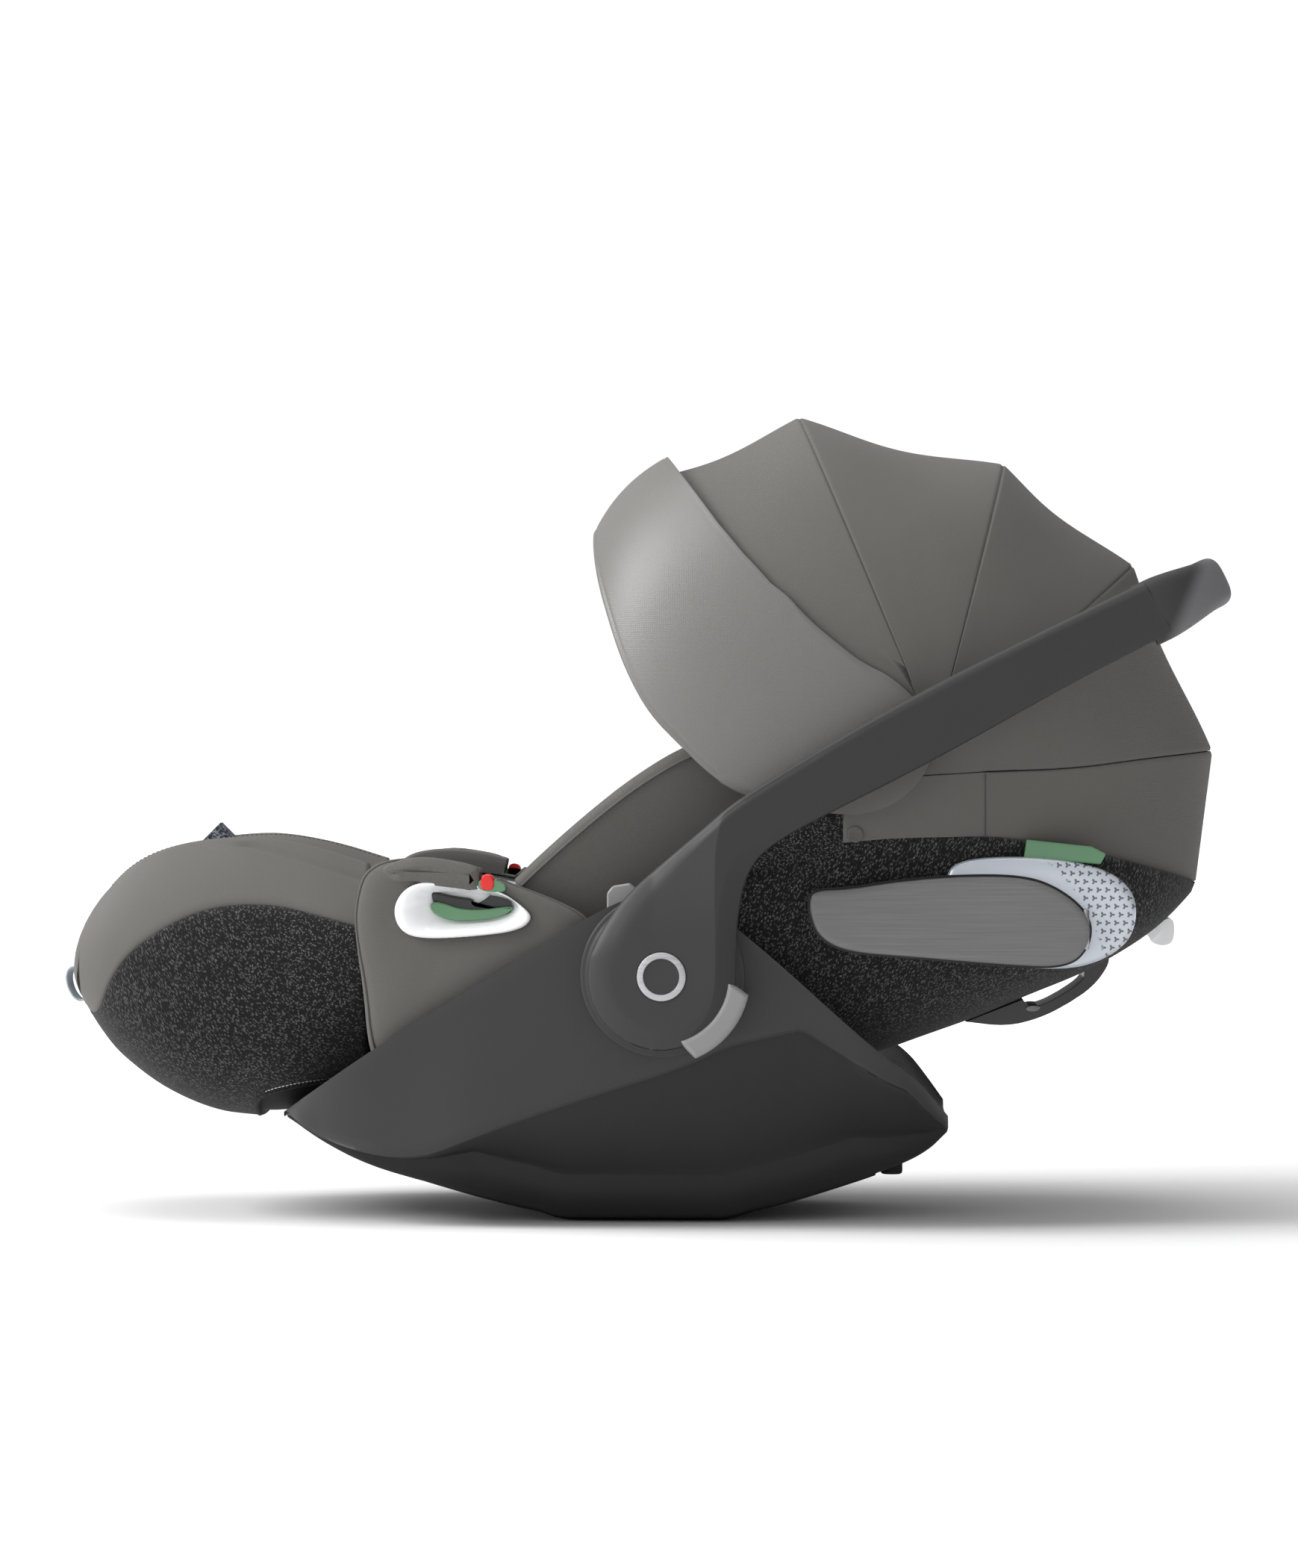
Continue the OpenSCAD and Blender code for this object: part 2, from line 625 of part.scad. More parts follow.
visor_r = 245;
lobe_r = 57;
module visor() {
    fs = steps(7, 173, 38);
    ts = steps(0, 1, 7);
    function front(f) = let (q = visor_r * power(sin(f), 2 / arch_n)) 143 + 38 * min(1.25,
        max(0, (visor_r - q) / 121));
    function back(f) = let (q = visor_r * power(sin(f), 2 / arch_n)) 123.5 - 14 * power(max(0, 1 - q / 160), 2);
    function grid(d) = [for (t = ts) [for (f = fs)
        arch(mix(back(f), front(f), t), visor_r - 4 * t * t - d, canopy_w + 3.4 - d, f)]];
    color([0.43, 0.42, 0.41])
        difference() {
            union() {
                sheet(grid(0), grid(cloth_t + 0.6));
                for (s = [-1, 1])
                    pin(s, pivot, lobe_r, canopy_w + 0.6, canopy_w + 3.2);
            }
            for (s = [-1, 1])
                pin(s, pivot, mount_pin_r + run_gap, 170, 200);
        }
}

// ---------- handle ----------

// Outline of an arm: down its front edge, round the hub, and up its rear edge.
arm_front = [[352, 456], [304, 433], [184, 374], [70, 306], [44, 283], [20, 263], [-9, 238], [-26, 214],
    [-35, 194]];
arm_rear = [[67.7, 186], [68, 204], [69, 222], [73, 246], [82, 264], [101, 278], [125, 291], [201, 329],
    [304, 387], [352, 411], [372, 421]];
module arm_outline() {
    polygon(concat(soft(arm_front), [for (a = steps(168, 356, 44)) hub + hub_r * [cos(a), sin(a)]],
        soft(arm_rear)));
}

// Hollow moulded into the inner face of an arm, between the hub and the grip.
module arm_pocket() {
    polygon([[97, 287], [89, 296], [196, 368], [296, 419], [309, 398], [199, 336.5]]);
}

button_a = -38;     // direction of a release button from the hub
module handle_arm(s) {
    color([0.27, 0.27, 0.275])
        difference() {
            plate(s, arm_in, half_w - 4) arm_outline();
            pin(s, hub, pin_r + run_gap, 180, half_w - 8);
            plate(s, arm_in - 1, half_w - 9)
                arm_pocket();
            plate(s, arm_in + 6, half_w)
                translate(hub)
                    rotate(button_a)
                        sector(41, 75, -35, 35);
        }
}

module release_button(s) {
    color([0.58, 0.58, 0.59])
        plate(s, arm_in + 6.4, half_w - 0.5)
            translate(hub)
                rotate(button_a)
                    sector(46, 60, -30, 30);
}

module hub_badges() {
    color([0.78, 0.78, 0.79])
        for (s = [-1, 1])
            plate(s, half_w - 3.9, half_w)
                translate(hub)
                    difference() {
                        circle(17);
                        circle(12.6);
                    }
}

// Grip: a bar that leaves one arm, bends round the corner and crosses to the other arm.
bar_dir = [cos(26), 0, sin(26)];    // direction of the arms at their ends
bar_up = [-sin(26), 0, cos(26)];
grip_start = [360, 0, 436];         // middle of an arm where the grip begins
grip_run = 44;                      // length from there to the crossing bar's centre line
corner_r = 42;
grip_y = half_w - 4 - arm_t / 2;
function grip_path(t) = t < 90
    ? let (c = grip_run - corner_r) [[grip_y - corner_r + corner_r * cos(t), c + corner_r * sin(t)], t]
    : [[(grip_y - corner_r) * (1 - (t - 90) / 45), grip_run], 90];
grip_list = concat([[[grip_y, -6], 0]], [for (t = steps(0, 90, 9)) grip_path(t)],
    [for (t = [105, 120, 135]) grip_path(t)]);
function grip_ring(e, s) = let (y = e[0][0], u = e[0][1], a = e[1], ca = cos(a), sa = sin(a),
    hw = mix(23, 18, min(1, a / 60)), ht = mix(arm_t / 2, 14, min(1, a / 60)))
    [for (k = [0:15]) let (q = 360 * k / 16, p = hw * sign(cos(q)) * power(abs(cos(q)), 0.6),
        r = ht * sign(sin(q)) * power(abs(sin(q)), 0.6))
        [grip_start[0] + bar_dir[0] * (u + r * sa) + bar_up[0] * p, s * (y + r * ca),
         grip_start[2] + bar_dir[2] * (u + r * sa) + bar_up[2] * p]];
module handle_grip() {
    n = len(grip_list);
    all = concat([for (i = [0:n - 1]) grip_ring(grip_list[i], 1)],
        [for (i = [n - 2:-1:0]) grip_ring(grip_list[i], -1)]);
    color([0.5, 0.5, 0.51])
        difference() {
            rings(all);
            for (s = [-1, 1])
                plate(s, arm_in - 1, half_w - 3)
                    arm_outline();
            // channel moulded along the inner side of the crossing bar
            translate(grip_start)
                rotate([0, -26, 0])
                    translate([grip_run - 15, -150, -12])
                        cube([21, 300, 24]);
        }
}

base_shell();
skid_plate();
rocker_feet();
latch_bars();
hub_bearings();
hub_pins();
seat_pan();
seat_cushion();
side_cover(-1);  // side_cover_l
side_cover(1);  // side_cover_r
belt_guide(-1);  // belt_guide_l
belt_guide(1);  // belt_guide_r
guide_liners();
belt_latches();
crotch_strap();
buckle();
buckle_button();
strap_tongues();
adjuster();
adjuster_button();
adjuster_strap();
adapter_button(-1);  // adapter_button_l
adapter_button(1);  // adapter_button_r
leg_shell();
leg_pad();
leg_sling();
pull_loop();
leg_label();
head_shell();
back_pad();
belt_hook();
rear_guides();
lsp_housing(-1);  // lsp_housing_l
lsp_housing(1);  // lsp_housing_r
lsp_pins();
canopy_mounts();
rear_curtain();
rib(3);  // canopy_rib_4
panel(rib_a[3] + 0.2, rib_a[2] - 0.2, ridge[3], ridge[2], canopy_w, canopy_w, dip[3]);  // canopy_panel_a
recline_lever();
headrest();
shoulder_pads();
shoulder_straps();
lsp_plate(-1);  // lsp_plate_l
lsp_plate(1);  // lsp_plate_r
rib(2);  // canopy_rib_3
panel(rib_a[2] + 0.2, rib_a[1] - 0.2, ridge[2], ridge[1], canopy_w, canopy_w, dip[2]);  // canopy_panel_b
rib(1);  // canopy_rib_2
panel(rib_a[1] + 0.2, rib_a[0] - 0.2, ridge[1], ridge[0], canopy_w, canopy_w, dip[1]);  // canopy_panel_c
rib(0);  // canopy_rib_1
panel(rib_a[0] + 0.2, 124, ridge[0], 240, canopy_w, canopy_w, dip[0]);  // canopy_panel_d
visor();
handle_arm(-1);  // handle_arm_l
handle_arm(1);  // handle_arm_r
handle_grip();
hub_badges();
release_button(-1);  // release_button_l
release_button(1);  // release_button_r
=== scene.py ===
import math

import bmesh
import bpy
import numpy as np
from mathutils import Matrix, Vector


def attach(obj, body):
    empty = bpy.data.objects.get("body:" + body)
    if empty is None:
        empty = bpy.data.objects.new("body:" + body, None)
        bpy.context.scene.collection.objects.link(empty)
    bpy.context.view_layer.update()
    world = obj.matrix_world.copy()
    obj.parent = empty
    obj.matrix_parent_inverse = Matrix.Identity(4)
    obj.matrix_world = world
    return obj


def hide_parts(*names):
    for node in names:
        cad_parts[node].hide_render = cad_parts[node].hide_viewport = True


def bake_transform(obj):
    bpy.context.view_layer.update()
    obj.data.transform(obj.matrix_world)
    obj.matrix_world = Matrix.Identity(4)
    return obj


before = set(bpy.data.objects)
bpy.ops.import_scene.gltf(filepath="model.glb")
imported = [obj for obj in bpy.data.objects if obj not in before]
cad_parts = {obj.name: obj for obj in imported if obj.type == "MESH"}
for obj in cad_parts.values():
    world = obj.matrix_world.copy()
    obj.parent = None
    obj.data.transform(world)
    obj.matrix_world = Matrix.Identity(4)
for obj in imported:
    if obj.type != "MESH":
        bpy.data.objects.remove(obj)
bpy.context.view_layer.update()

# Infant car seat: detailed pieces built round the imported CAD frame.
# Shapes are worked out in millimetres, in the CAD frame, and made in metres.
# Side -1 is the near side (-Y) and side 1 is the far side (+Y).

scene = bpy.context.scene
SIDES = ((-1, "l"), (1, "r"))


# ---- camera

def link(name, data, where=None, toward=None):
    """An object in the scene, placed and turned to look along a direction where one is given."""
    obj = bpy.data.objects.new(name, data)
    scene.collection.objects.link(obj)
    if toward is not None:
        obj.location = where
        obj.rotation_euler = toward.to_track_quat("-Z", "Y").to_euler()
    return obj


def build_camera():
    aim, distance = Vector((0, 0, 0.3135)), 4.2
    azimuth, elevation = math.radians(1.9), math.radians(0.5)
    back = Vector((math.sin(azimuth) * math.cos(elevation), -math.cos(azimuth) * math.cos(elevation),
                   math.sin(elevation)))
    data = bpy.data.cameras.new("photo_camera")
    data.sensor_fit = "HORIZONTAL"
    data.sensor_width, data.lens = 36, 158.1
    data.clip_start, data.clip_end = 0.05, 60
    scene.camera = link("photo_camera", data, aim + back * distance, -back)


build_camera()


# ---- curves and grids

def cut(points, times=4, ring=False):
    """Corner cutting of a ring, or of an open line, which keeps its ends."""
    p = np.array(points, float)
    for _ in range(times):
        a, b = (p, np.roll(p, -1, 0)) if ring else (p[:-1], p[1:])
        q = np.stack([a * 0.75 + b * 0.25, a * 0.25 + b * 0.75], 1).reshape(-1, p.shape[1])
        p = q if ring else np.vstack([p[:1], q, p[-1:]])
    return p


def cut_ring(points, times=4):
    return cut(points, times, True)


def unit(v):
    """Vectors brought to a length of one, along the last axis."""
    return v / np.maximum(np.linalg.norm(v, axis=-1, keepdims=True), 1e-9)


def at(x, table):
    """Value at x of a line of (x, value) points."""
    return np.interp(x, table[:, 0], table[:, 1])


def run(points):
    """Distance along a line at each of its points."""
    return np.concatenate([[0], np.cumsum(np.linalg.norm(np.diff(points, axis=0), axis=1))])


def even(points, m, closed=False):
    """m points spread evenly along a line or round a ring."""
    p = np.array(points, float)
    if closed:
        p = np.vstack([p, p[:1]])
    s = run(p)
    t = np.linspace(0, s[-1], m, endpoint=not closed)
    return np.stack([np.interp(t, s, column) for column in p.T], 1)


def smooth_step(t):
    t = np.clip(t, 0, 1)
    return t * t * (3 - 2 * t)


def power(v, e):
    return np.power(np.maximum(v, 0), e)


def signed(v, e):
    """A power that keeps the sign, for rounded squares."""
    return np.sign(v) * power(np.abs(v), e)


def relax(line, times):
    """Smooths a line in place, with its ends kept."""
    for _ in range(times):
        line[1:-1] = line[1:-1] * 0.5 + (line[:-2] + line[2:]) * 0.25


def dip(d, width, depth):
    """A groove: how deep it is at a distance d from its middle."""
    return depth * np.exp(-(d / width) ** 2)


def new_object(name, verts, faces, uv=None, sharp=38):
    """Object from vertices in millimetres. uv holds one pair in metres for each vertex."""
    mesh = bpy.data.meshes.new(name)
    mesh.from_pydata([tuple(v) for v in np.asarray(verts) * 0.001], [], [tuple(f) for f in faces])
    mesh.validate()
    if uv is not None:
        layer = mesh.uv_layers.new(name="weave")
        index = np.empty(len(mesh.loops), np.int32)
        mesh.loops.foreach_get("vertex_index", index)
        layer.data.foreach_set("uv", np.asarray(uv, np.float32)[index].ravel())
    obj = link(name, mesh)
    tidy(obj, sharp)
    return obj


def tidy(obj, sharp=38):
    """Outward normals, smooth faces, and sharp edges over a given angle."""
    bm = bmesh.new()
    bm.from_mesh(obj.data)
    bmesh.ops.recalc_face_normals(bm, faces=bm.faces)
    for f in bm.faces:
        f.smooth = True
    limit = math.radians(sharp)
    for e in bm.edges:
        e.smooth = len(e.link_faces) == 2 and e.calc_face_angle(0) < limit
    bm.to_mesh(obj.data)
    bm.free()


def grid_uv(o):
    """Distances along the rows and columns of a grid, in metres."""
    n, m = o.shape[:2]
    u = np.zeros((n, m))
    v = np.zeros((n, m))
    u[:, 1:] = np.cumsum(np.linalg.norm(np.diff(o, axis=1), axis=2), 1)
    v[1:] = np.cumsum(np.linalg.norm(np.diff(o, axis=0), axis=2), 0)
    u -= u[:, m // 2][:, None]
    v = np.broadcast_to(v.mean(1)[:, None], (n, m))
    return np.stack([u, v], 2).reshape(-1, 2) * 0.001


def sheet(name, o, q, bulge=0.4, sharp=50):
    """Closed sheet between two equal grids, with a rounded rim."""
    o, q = np.asarray(o, float), np.asarray(q, float)
    n, m = o.shape[:2]
    k = n * m
    border = ([(0, j) for j in range(m)] + [(i, m - 1) for i in range(1, n)]
              + [(n - 1, j) for j in range(m - 2, -1, -1)] + [(i, 0) for i in range(n - 2, 0, -1)])
    middle = []
    for i, j in border:
        inner = o[min(max(i, 1), n - 2), min(max(j, 1), m - 2)]
        gap = np.linalg.norm(o[i, j] - q[i, j])
        middle.append((o[i, j] + q[i, j]) / 2 + unit(o[i, j] - inner) * gap * bulge)
    verts = np.vstack([o.reshape(-1, 3), q.reshape(-1, 3), np.array(middle)])
    faces = []
    for i in range(n - 1):
        for j in range(m - 1):
            a = i * m + j
            faces.append((a, a + 1, a + m + 1, a + m))
            faces.append((a + m + k, a + m + 1 + k, a + 1 + k, a + k))
    b = len(border)
    for t in range(b):
        c, d = border[t], border[(t + 1) % b]
        c, d = c[0] * m + c[1], d[0] * m + d[1]
        e, f = 2 * k + t, 2 * k + (t + 1) % b
        faces.append((c, d, f, e))
        faces.append((e, f, d + k, c + k))
    uv = grid_uv(o)
    rim = np.array([uv[i * m + j] for i, j in border])
    return new_object(name, verts, faces, np.vstack([uv, uv, rim]), sharp)


def shell(name, outer, inner, faces, bulge=0.4, sharp=80):
    """Closed sheet from any open mesh: its outer points, its inner points and its faces."""
    outer, inner = np.asarray(outer, float), np.asarray(inner, float)
    n = len(outer)
    edges, core = set(), {}
    for f in faces:
        mid = outer[list(f)].mean(0)
        for a, b in zip(f, f[1:] + f[:1]):
            edges.add((a, b))
            core.setdefault(a, []).append(mid)
    border = [(a, b) for a, b in edges if (b, a) not in edges]
    rim = {}
    middle = []
    for a, _ in border:
        gap = np.linalg.norm(outer[a] - inner[a])
        rim[a] = 2 * n + len(middle)
        middle.append((outer[a] + inner[a]) / 2 + unit(outer[a] - np.mean(core[a], 0)) * gap * bulge)
    made = list(faces) + [tuple(v + n for v in reversed(f)) for f in faces]
    for a, b in border:
        made.append((b, a, rim[a], rim[b]))
        made.append((rim[b], rim[a], a + n, b + n))
    verts = np.vstack([outer, inner, np.array(middle)])
    return new_object(name, verts, made, verts[:, [0, 2]] * 0.001, sharp)


def tube(name, rings, closed=False, sharp=50, flat=False):
    """Bar through a list of equal rings, or a band whose last ring meets the first. Its weave may be laid flat."""
    r = np.asarray(rings, float)
    n, m = r.shape[:2]
    faces = []
    for i in range(n if closed else n - 1):
        for j in range(m):
            b, c = (j + 1) % m, ((i + 1) % n) * m
            faces.append((i * m + j, i * m + b, c + b, c + j))
    if not closed:
        faces.append(tuple(range(m - 1, -1, -1)))
        faces.append(tuple((n - 1) * m + j for j in range(m)))
    step = np.linalg.norm(np.diff(np.concatenate([r, r[:, :1]], 1), axis=1), axis=2)
    u = np.cumsum(step, 1) - step[:, :1]
    v = run(r.mean(1))[:, None] + np.zeros((n, m))
    weave = r[:, :, [0, 2]] if flat else np.stack([u, v], 2)
    return new_object(name, r.reshape(-1, 3), faces, weave.reshape(-1, 2) * 0.001, sharp)


def around(d):
    """Two directions square to d and to each other."""
    a = unit(np.cross(d, [0.31, 0.17, 0.93]))
    return a, np.cross(d, a)


def cord_along(name, line, radius, sides=8, closed=False):
    """Thin round bead along a line, for piping, seams and stitches."""
    p = np.asarray(line, float)
    a, b = around(unit(np.roll(p, -1, 0) - np.roll(p, 1, 0) if closed else np.gradient(p, axis=0)))
    turns = [2 * math.pi * k / sides for k in range(sides)]
    return tube(name, np.stack([p + radius * (math.cos(q) * a + math.sin(q) * b) for q in turns], 1), closed, 80)


def join(name, objs):
    """One object from several, with their slots kept."""
    bpy.ops.object.select_all(action="DESELECT")
    for o in objs:
        o.select_set(True)
    bpy.context.view_layer.objects.active = objs[0]
    bpy.ops.object.join()
    objs[0].name = name
    objs[0].data.name = name
    return objs[0]


def stitches(name, line, pitch, length, radius):
    """A row of short threads along a line."""
    s = run(line)
    rings, sides = 4, 5
    verts, faces = [], []
    for t in np.arange(pitch / 2, s[-1] - length, pitch):
        pts = np.stack([np.interp(np.linspace(t, t + length, rings), s, column) for column in line.T], 1)
        a, b = around(unit(pts[-1] - pts[0]))
        k = len(verts)
        for i, p in enumerate(pts):
            r = radius * (0.55 if i in (0, rings - 1) else 1)
            for c in range(sides):
                q = 2 * math.pi * c / sides
                verts.append(p + r * (math.cos(q) * a + math.sin(q) * b))
        for i in range(k, k + (rings - 1) * sides, sides):
            for c in range(sides):
                d = (c + 1) % sides
                faces.append((i + c, i + d, i + sides + d, i + sides + c))
        faces.append(tuple(range(k + sides - 1, k - 1, -1)))
        faces.append(tuple(range(k + (rings - 1) * sides, k + rings * sides)))
    return new_object(name, np.array(verts), faces, None, 80)


def u_row(x0, z0, x1, z1, wb, wt, n, m):
    """One row of a U: bottom centre at (x0, z0), top edges at (x1, z1), points evenly apart."""
    a = np.linspace(0, math.pi, 361)
    v = 1 - power(np.sin(a), 2 / n)
    y = -(wb + (wt - wb) * v) * signed(np.cos(a), 2 / n)
    return even(np.stack([x0 + (x1 - x0) * v, y, z0 + (z1 - z0) * v], 1), m + 1)


def lathe(name, centre, side, profile, segments=96):
    """Solid turned round the Y axis at (x, z). The profile lists (radius, distance from the middle plane)."""
    a = np.linspace(0, 2 * math.pi, segments, endpoint=False)
    return tube(name, [np.stack([centre[0] + r * np.cos(a), np.full(segments, side * y), centre[1] + r * np.sin(a)], 1)
                       for r, y in profile], False, 40)


def post(name, x, y, profile, segments):
    """Solid turned round an upright line at (x, y). The profile lists (radius, height)."""
    a = np.linspace(0, 2 * math.pi, segments, endpoint=False)
    return tube(name, [np.stack([x + r * np.cos(a), y + r * np.sin(a), np.full(segments, z)], 1) for r, z in profile])


def outline_solid(name, outline, side, levels, sharp=35):
    """Solid from an outline in XZ: each level is (inset, distance from the middle plane)."""
    p = np.asarray(outline, float)
    area = 0.5 * np.sum(p[:, 0] * np.roll(p[:, 1], -1) - np.roll(p[:, 0], -1) * p[:, 1])
    if area < 0:
        p = p[::-1]
        levels = [(i, y[::-1] if np.ndim(y) else y) for i, y in levels]
    d = unit(np.roll(p, -1, 0) - np.roll(p, 1, 0))
    inward = np.stack([-d[:, 1], d[:, 0]], 1)
    rings = []
    for inset, y in levels:
        q = p + inward * np.asarray(inset).reshape(-1, 1)
        rings.append(np.stack([q[:, 0], side * (y + np.zeros(len(q))), q[:, 1]], 1))
    obj = tube(name, rings, False, sharp)
    weigh(obj)
    return obj


def weigh(obj):
    """Shading that follows the large faces."""
    mod = obj.modifiers.new("weigh", "WEIGHTED_NORMAL")
    mod.keep_sharp = True
    mod.weight = 80


def soften(name, node, width, segments, angle=32):
    """Detailed copy of a hard CAD node: merged faces and rounded edges."""
    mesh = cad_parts[node].data.copy()
    mesh.name = name
    mesh.materials.clear()
    obj = link(name, mesh)
    bm = bmesh.new()
    bm.from_mesh(mesh)
    bmesh.ops.remove_doubles(bm, verts=bm.verts, dist=2e-5)
    bmesh.ops.dissolve_limit(bm, angle_limit=math.radians(2), verts=bm.verts, edges=bm.edges)
    bm.to_mesh(mesh)
    bm.free()
    tidy(obj, angle)
    mod = obj.modifiers.new("round", "BEVEL")
    mod.width = width * 0.001
    mod.segments = segments
    mod.limit_method = "ANGLE"
    mod.angle_limit = math.radians(angle)
    mod.harden_normals = False
    mod.use_clamp_overlap = True
    for f in mesh.polygons:
        f.use_smooth = True
    for e in mesh.edges:
        e.use_edge_sharp = False
    weigh(obj)
    return obj


def wear(obj, mat):
    """Gives a piece its material and the slot that goes with it."""
    obj.data.materials.clear()
    obj.data.materials.append(mat)


def place(obj, mat, body, *nodes, slot=None):
    wear(obj, mat)
    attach(obj, body)
    if nodes:
        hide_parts(*nodes)
    return obj


def paint(obj, mat, test):
    """Another material for the faces that pass a test."""
    obj.data.materials.append(mat)
    for face in obj.data.polygons:
        if test(face):
            face.material_index = len(obj.data.materials) - 1


def on_outside(face, grid):
    """Row and column of a sheet's face, where it is on the outer side. Its faces alternate, outer and inner."""
    rows, columns = np.shape(grid)[0] - 1, np.shape(grid)[1] - 1
    return divmod(face.index // 2, columns) if face.index % 2 == 0 and face.index < 2 * rows * columns else None


def pad_out(obj, fill, mat, body, *nodes):
    """Places a padded piece."""
    place(obj, mat, body, *nodes)
    return obj


def once(s, node):
    """Where one node holds both sides, the near side's piece replaces it."""
    return [node] if s < 0 else []


# ---- materials

def lin(c):
    """sRGB 0 to 255 to linear."""
    out = []
    for v in c:
        v = v / 255
        out.append(v / 12.92 if v <= 0.04045 else ((v + 0.055) / 1.055) ** 2.4)
    return tuple(out) + (1,)


class Nodes:
    """Short ways to add nodes to a tree."""

    def __init__(self, tree):
        self.tree = tree

    def add(self, kind, props=None, **inputs):
        node = self.tree.nodes.new("ShaderNode" + kind)
        for k, v in (props or {}).items():
            setattr(node, k, v)
        for k, v in inputs.items():
            self.put(node, k.replace("_", " "), v)
        return node

    def put(self, node, key, value):
        socket = node.inputs[int(key) if key.isdigit() else key]
        if isinstance(value, bpy.types.NodeSocket):
            self.tree.links.new(value, socket)
        else:
            socket.default_value = value

    def math(self, op, a, b=0.0, c=0.0, clamp=False):
        node = self.add("Math", {"operation": op, "use_clamp": clamp})
        for i, v in enumerate((a, b, c)):
            self.put(node, str(i), v)
        return node.outputs[0]

    def blend(self, f, a, b):
        node = self.add("Mix", {"data_type": "RGBA"})
        for i, v in (("0", f), ("6", a), ("7", b)):
            self.put(node, i, v)
        return node.outputs[2]

    def coord(self, kind, scale=(1, 1, 1), turn=0.0):
        turned = self.add("Mapping", None, Vector=self.add("TexCoord").outputs[kind], Rotation=(0, 0, turn))
        return self.add("Mapping", None, Vector=turned.outputs[0], Scale=scale).outputs[0]

    def noise(self, vector, scale, detail=2.0, rough=0.5):
        return self.add("TexNoise", None, Vector=vector, Scale=scale, Detail=detail, Roughness=rough).outputs[0]

    def wave(self, vector, way, scale, distortion, **more):
        return self.add("TexWave", {"bands_direction": way}, Vector=vector, Scale=scale, Distortion=distortion,
                        **more).outputs[1]

    def axes(self, vector):
        return self.add("SeparateXYZ", None, Vector=vector).outputs

    def ramp(self, f, low, high):
        """Grey ramp between two stops, each a place and a value."""
        n = self.add("ValToRGB", None, Fac=f)
        for e, (place_, v) in zip(n.color_ramp.elements, (low, high)):
            e.position = place_
            e.color = (v, v, v, 1)
        return n.outputs[0]

    def fade(self, value, low, high, to_low=0.0, to_high=1.0):
        node = self.add("MapRange", {"interpolation_type": "SMOOTHSTEP"}, Value=value, From_Min=low, From_Max=high,
                        To_Min=to_low, To_Max=to_high)
        return node.outputs[0]

    def bump(self, height, strength, distance, normal=None):
        n = self.add("Bump", None, Height=height, Strength=strength, Distance=distance)
        if normal is not None:
            self.put(n, "Normal", normal)
        return n.outputs[0]


class Finish(Nodes):
    """A material that ends in one Principled shader."""

    def __init__(self, name):
        self.mat = bpy.data.materials.new(name)
        self.mat.use_nodes = True
        super().__init__(self.mat.node_tree)
        self.tree.nodes.clear()
        self.bsdf = self.add("BsdfPrincipled")
        self.add("OutputMaterial", None, Surface=self.bsdf.outputs[0])

    def set(self, **values):
        for k, v in values.items():
            self.put(self.bsdf, k.replace("_", " "), v)
        return self.mat


def shade(c, f):
    """A colour made lighter or darker by a factor."""
    return tuple(min(1, v * f) for v in c[:3]) + (1,)


def cloth(name, rgb, rough=0.82, coord="UV", sheen=0.12, spec=0.3, coat=0.0, threads=0.0009):
    """Fine plain weave with a slight melange and soft slow folds."""
    n = Finish(name)
    c = lin(rgb)
    v = n.coord(coord)
    k = 2 * math.pi / (20 * threads)
    weave = n.math("ADD", n.wave(v, "X", k, 0.6, Detail=1.0), n.wave(v, "Y", k, 0.6, Detail=1.0))
    fine = n.noise(v, 1400, 3, 0.6)
    slow = n.noise(v, 14, 2, 0.5)
    col = n.blend(n.ramp(fine, (0.32, 0.0), (0.68, 1.0)), shade(c, 0.86), shade(c, 1.13))
    col = n.blend(n.ramp(slow, (0.3, 0.0), (0.7, 0.35)), col, shade(c, 0.9))
    nrm = n.bump(slow, 0.25, 0.0035)
    nrm = n.bump(weave, 0.28, 0.00016, nrm)
    rr = n.ramp(fine, (0.2, rough - 0.06), (0.8, rough + 0.05))
    return n.set(Base_Color=col, Roughness=rr, Normal=nrm, Sheen_Weight=sheen, Sheen_Roughness=0.45,
                 Specular_IOR_Level=spec, Coat_Weight=coat, Coat_Roughness=0.45)


def knit(name, dark, light, turn, coord="UV"):
    """Boucle knit: short slanted stitches, a few of them light."""
    n = Finish(name)
    v = n.coord(coord, (800, 410, 800), turn)
    wob = n.noise(n.coord(coord), 260, 2)
    comb = n.add("CombineXYZ", None, X=n.math("MULTIPLY", wob, 1.6))
    off = n.add("VectorMath", {"operation": "ADD"})
    n.put(off, "0", v)
    n.put(off, "1", comb.outputs[0])
    vor = n.add("TexVoronoi", None, Vector=off.outputs[0], Scale=1.0, Randomness=0.85)
    sep = n.add("SeparateColor", None, Color=vor.outputs["Color"])
    lit = n.ramp(sep.outputs[0], (0.0, 0.45), (0.9, 1.0))
    core = n.ramp(vor.outputs["Distance"], (0.08, 1.0), (0.5, 0.0))
    mask = n.math("MULTIPLY", lit, core)
    patch = n.ramp(n.noise(n.coord(coord), 55, 2), (0.3, 0.85), (0.7, 1.0))
    mask = n.math("MULTIPLY", mask, patch)
    base = n.blend(core, lin(tuple(d * 0.62 for d in dark)), lin(dark))
    col = n.blend(mask, base, lin(light))
    nrm = n.bump(core, 0.9, 0.0007)
    nrm = n.bump(n.noise(n.coord(coord), 2200, 2), 0.3, 0.0002, nrm)
    return n.set(Base_Color=col, Roughness=n.ramp(core, (0.0, 0.95), (1.0, 0.82)), Normal=nrm,
                 Sheen_Weight=0.08, Sheen_Roughness=0.6, Specular_IOR_Level=0.2)


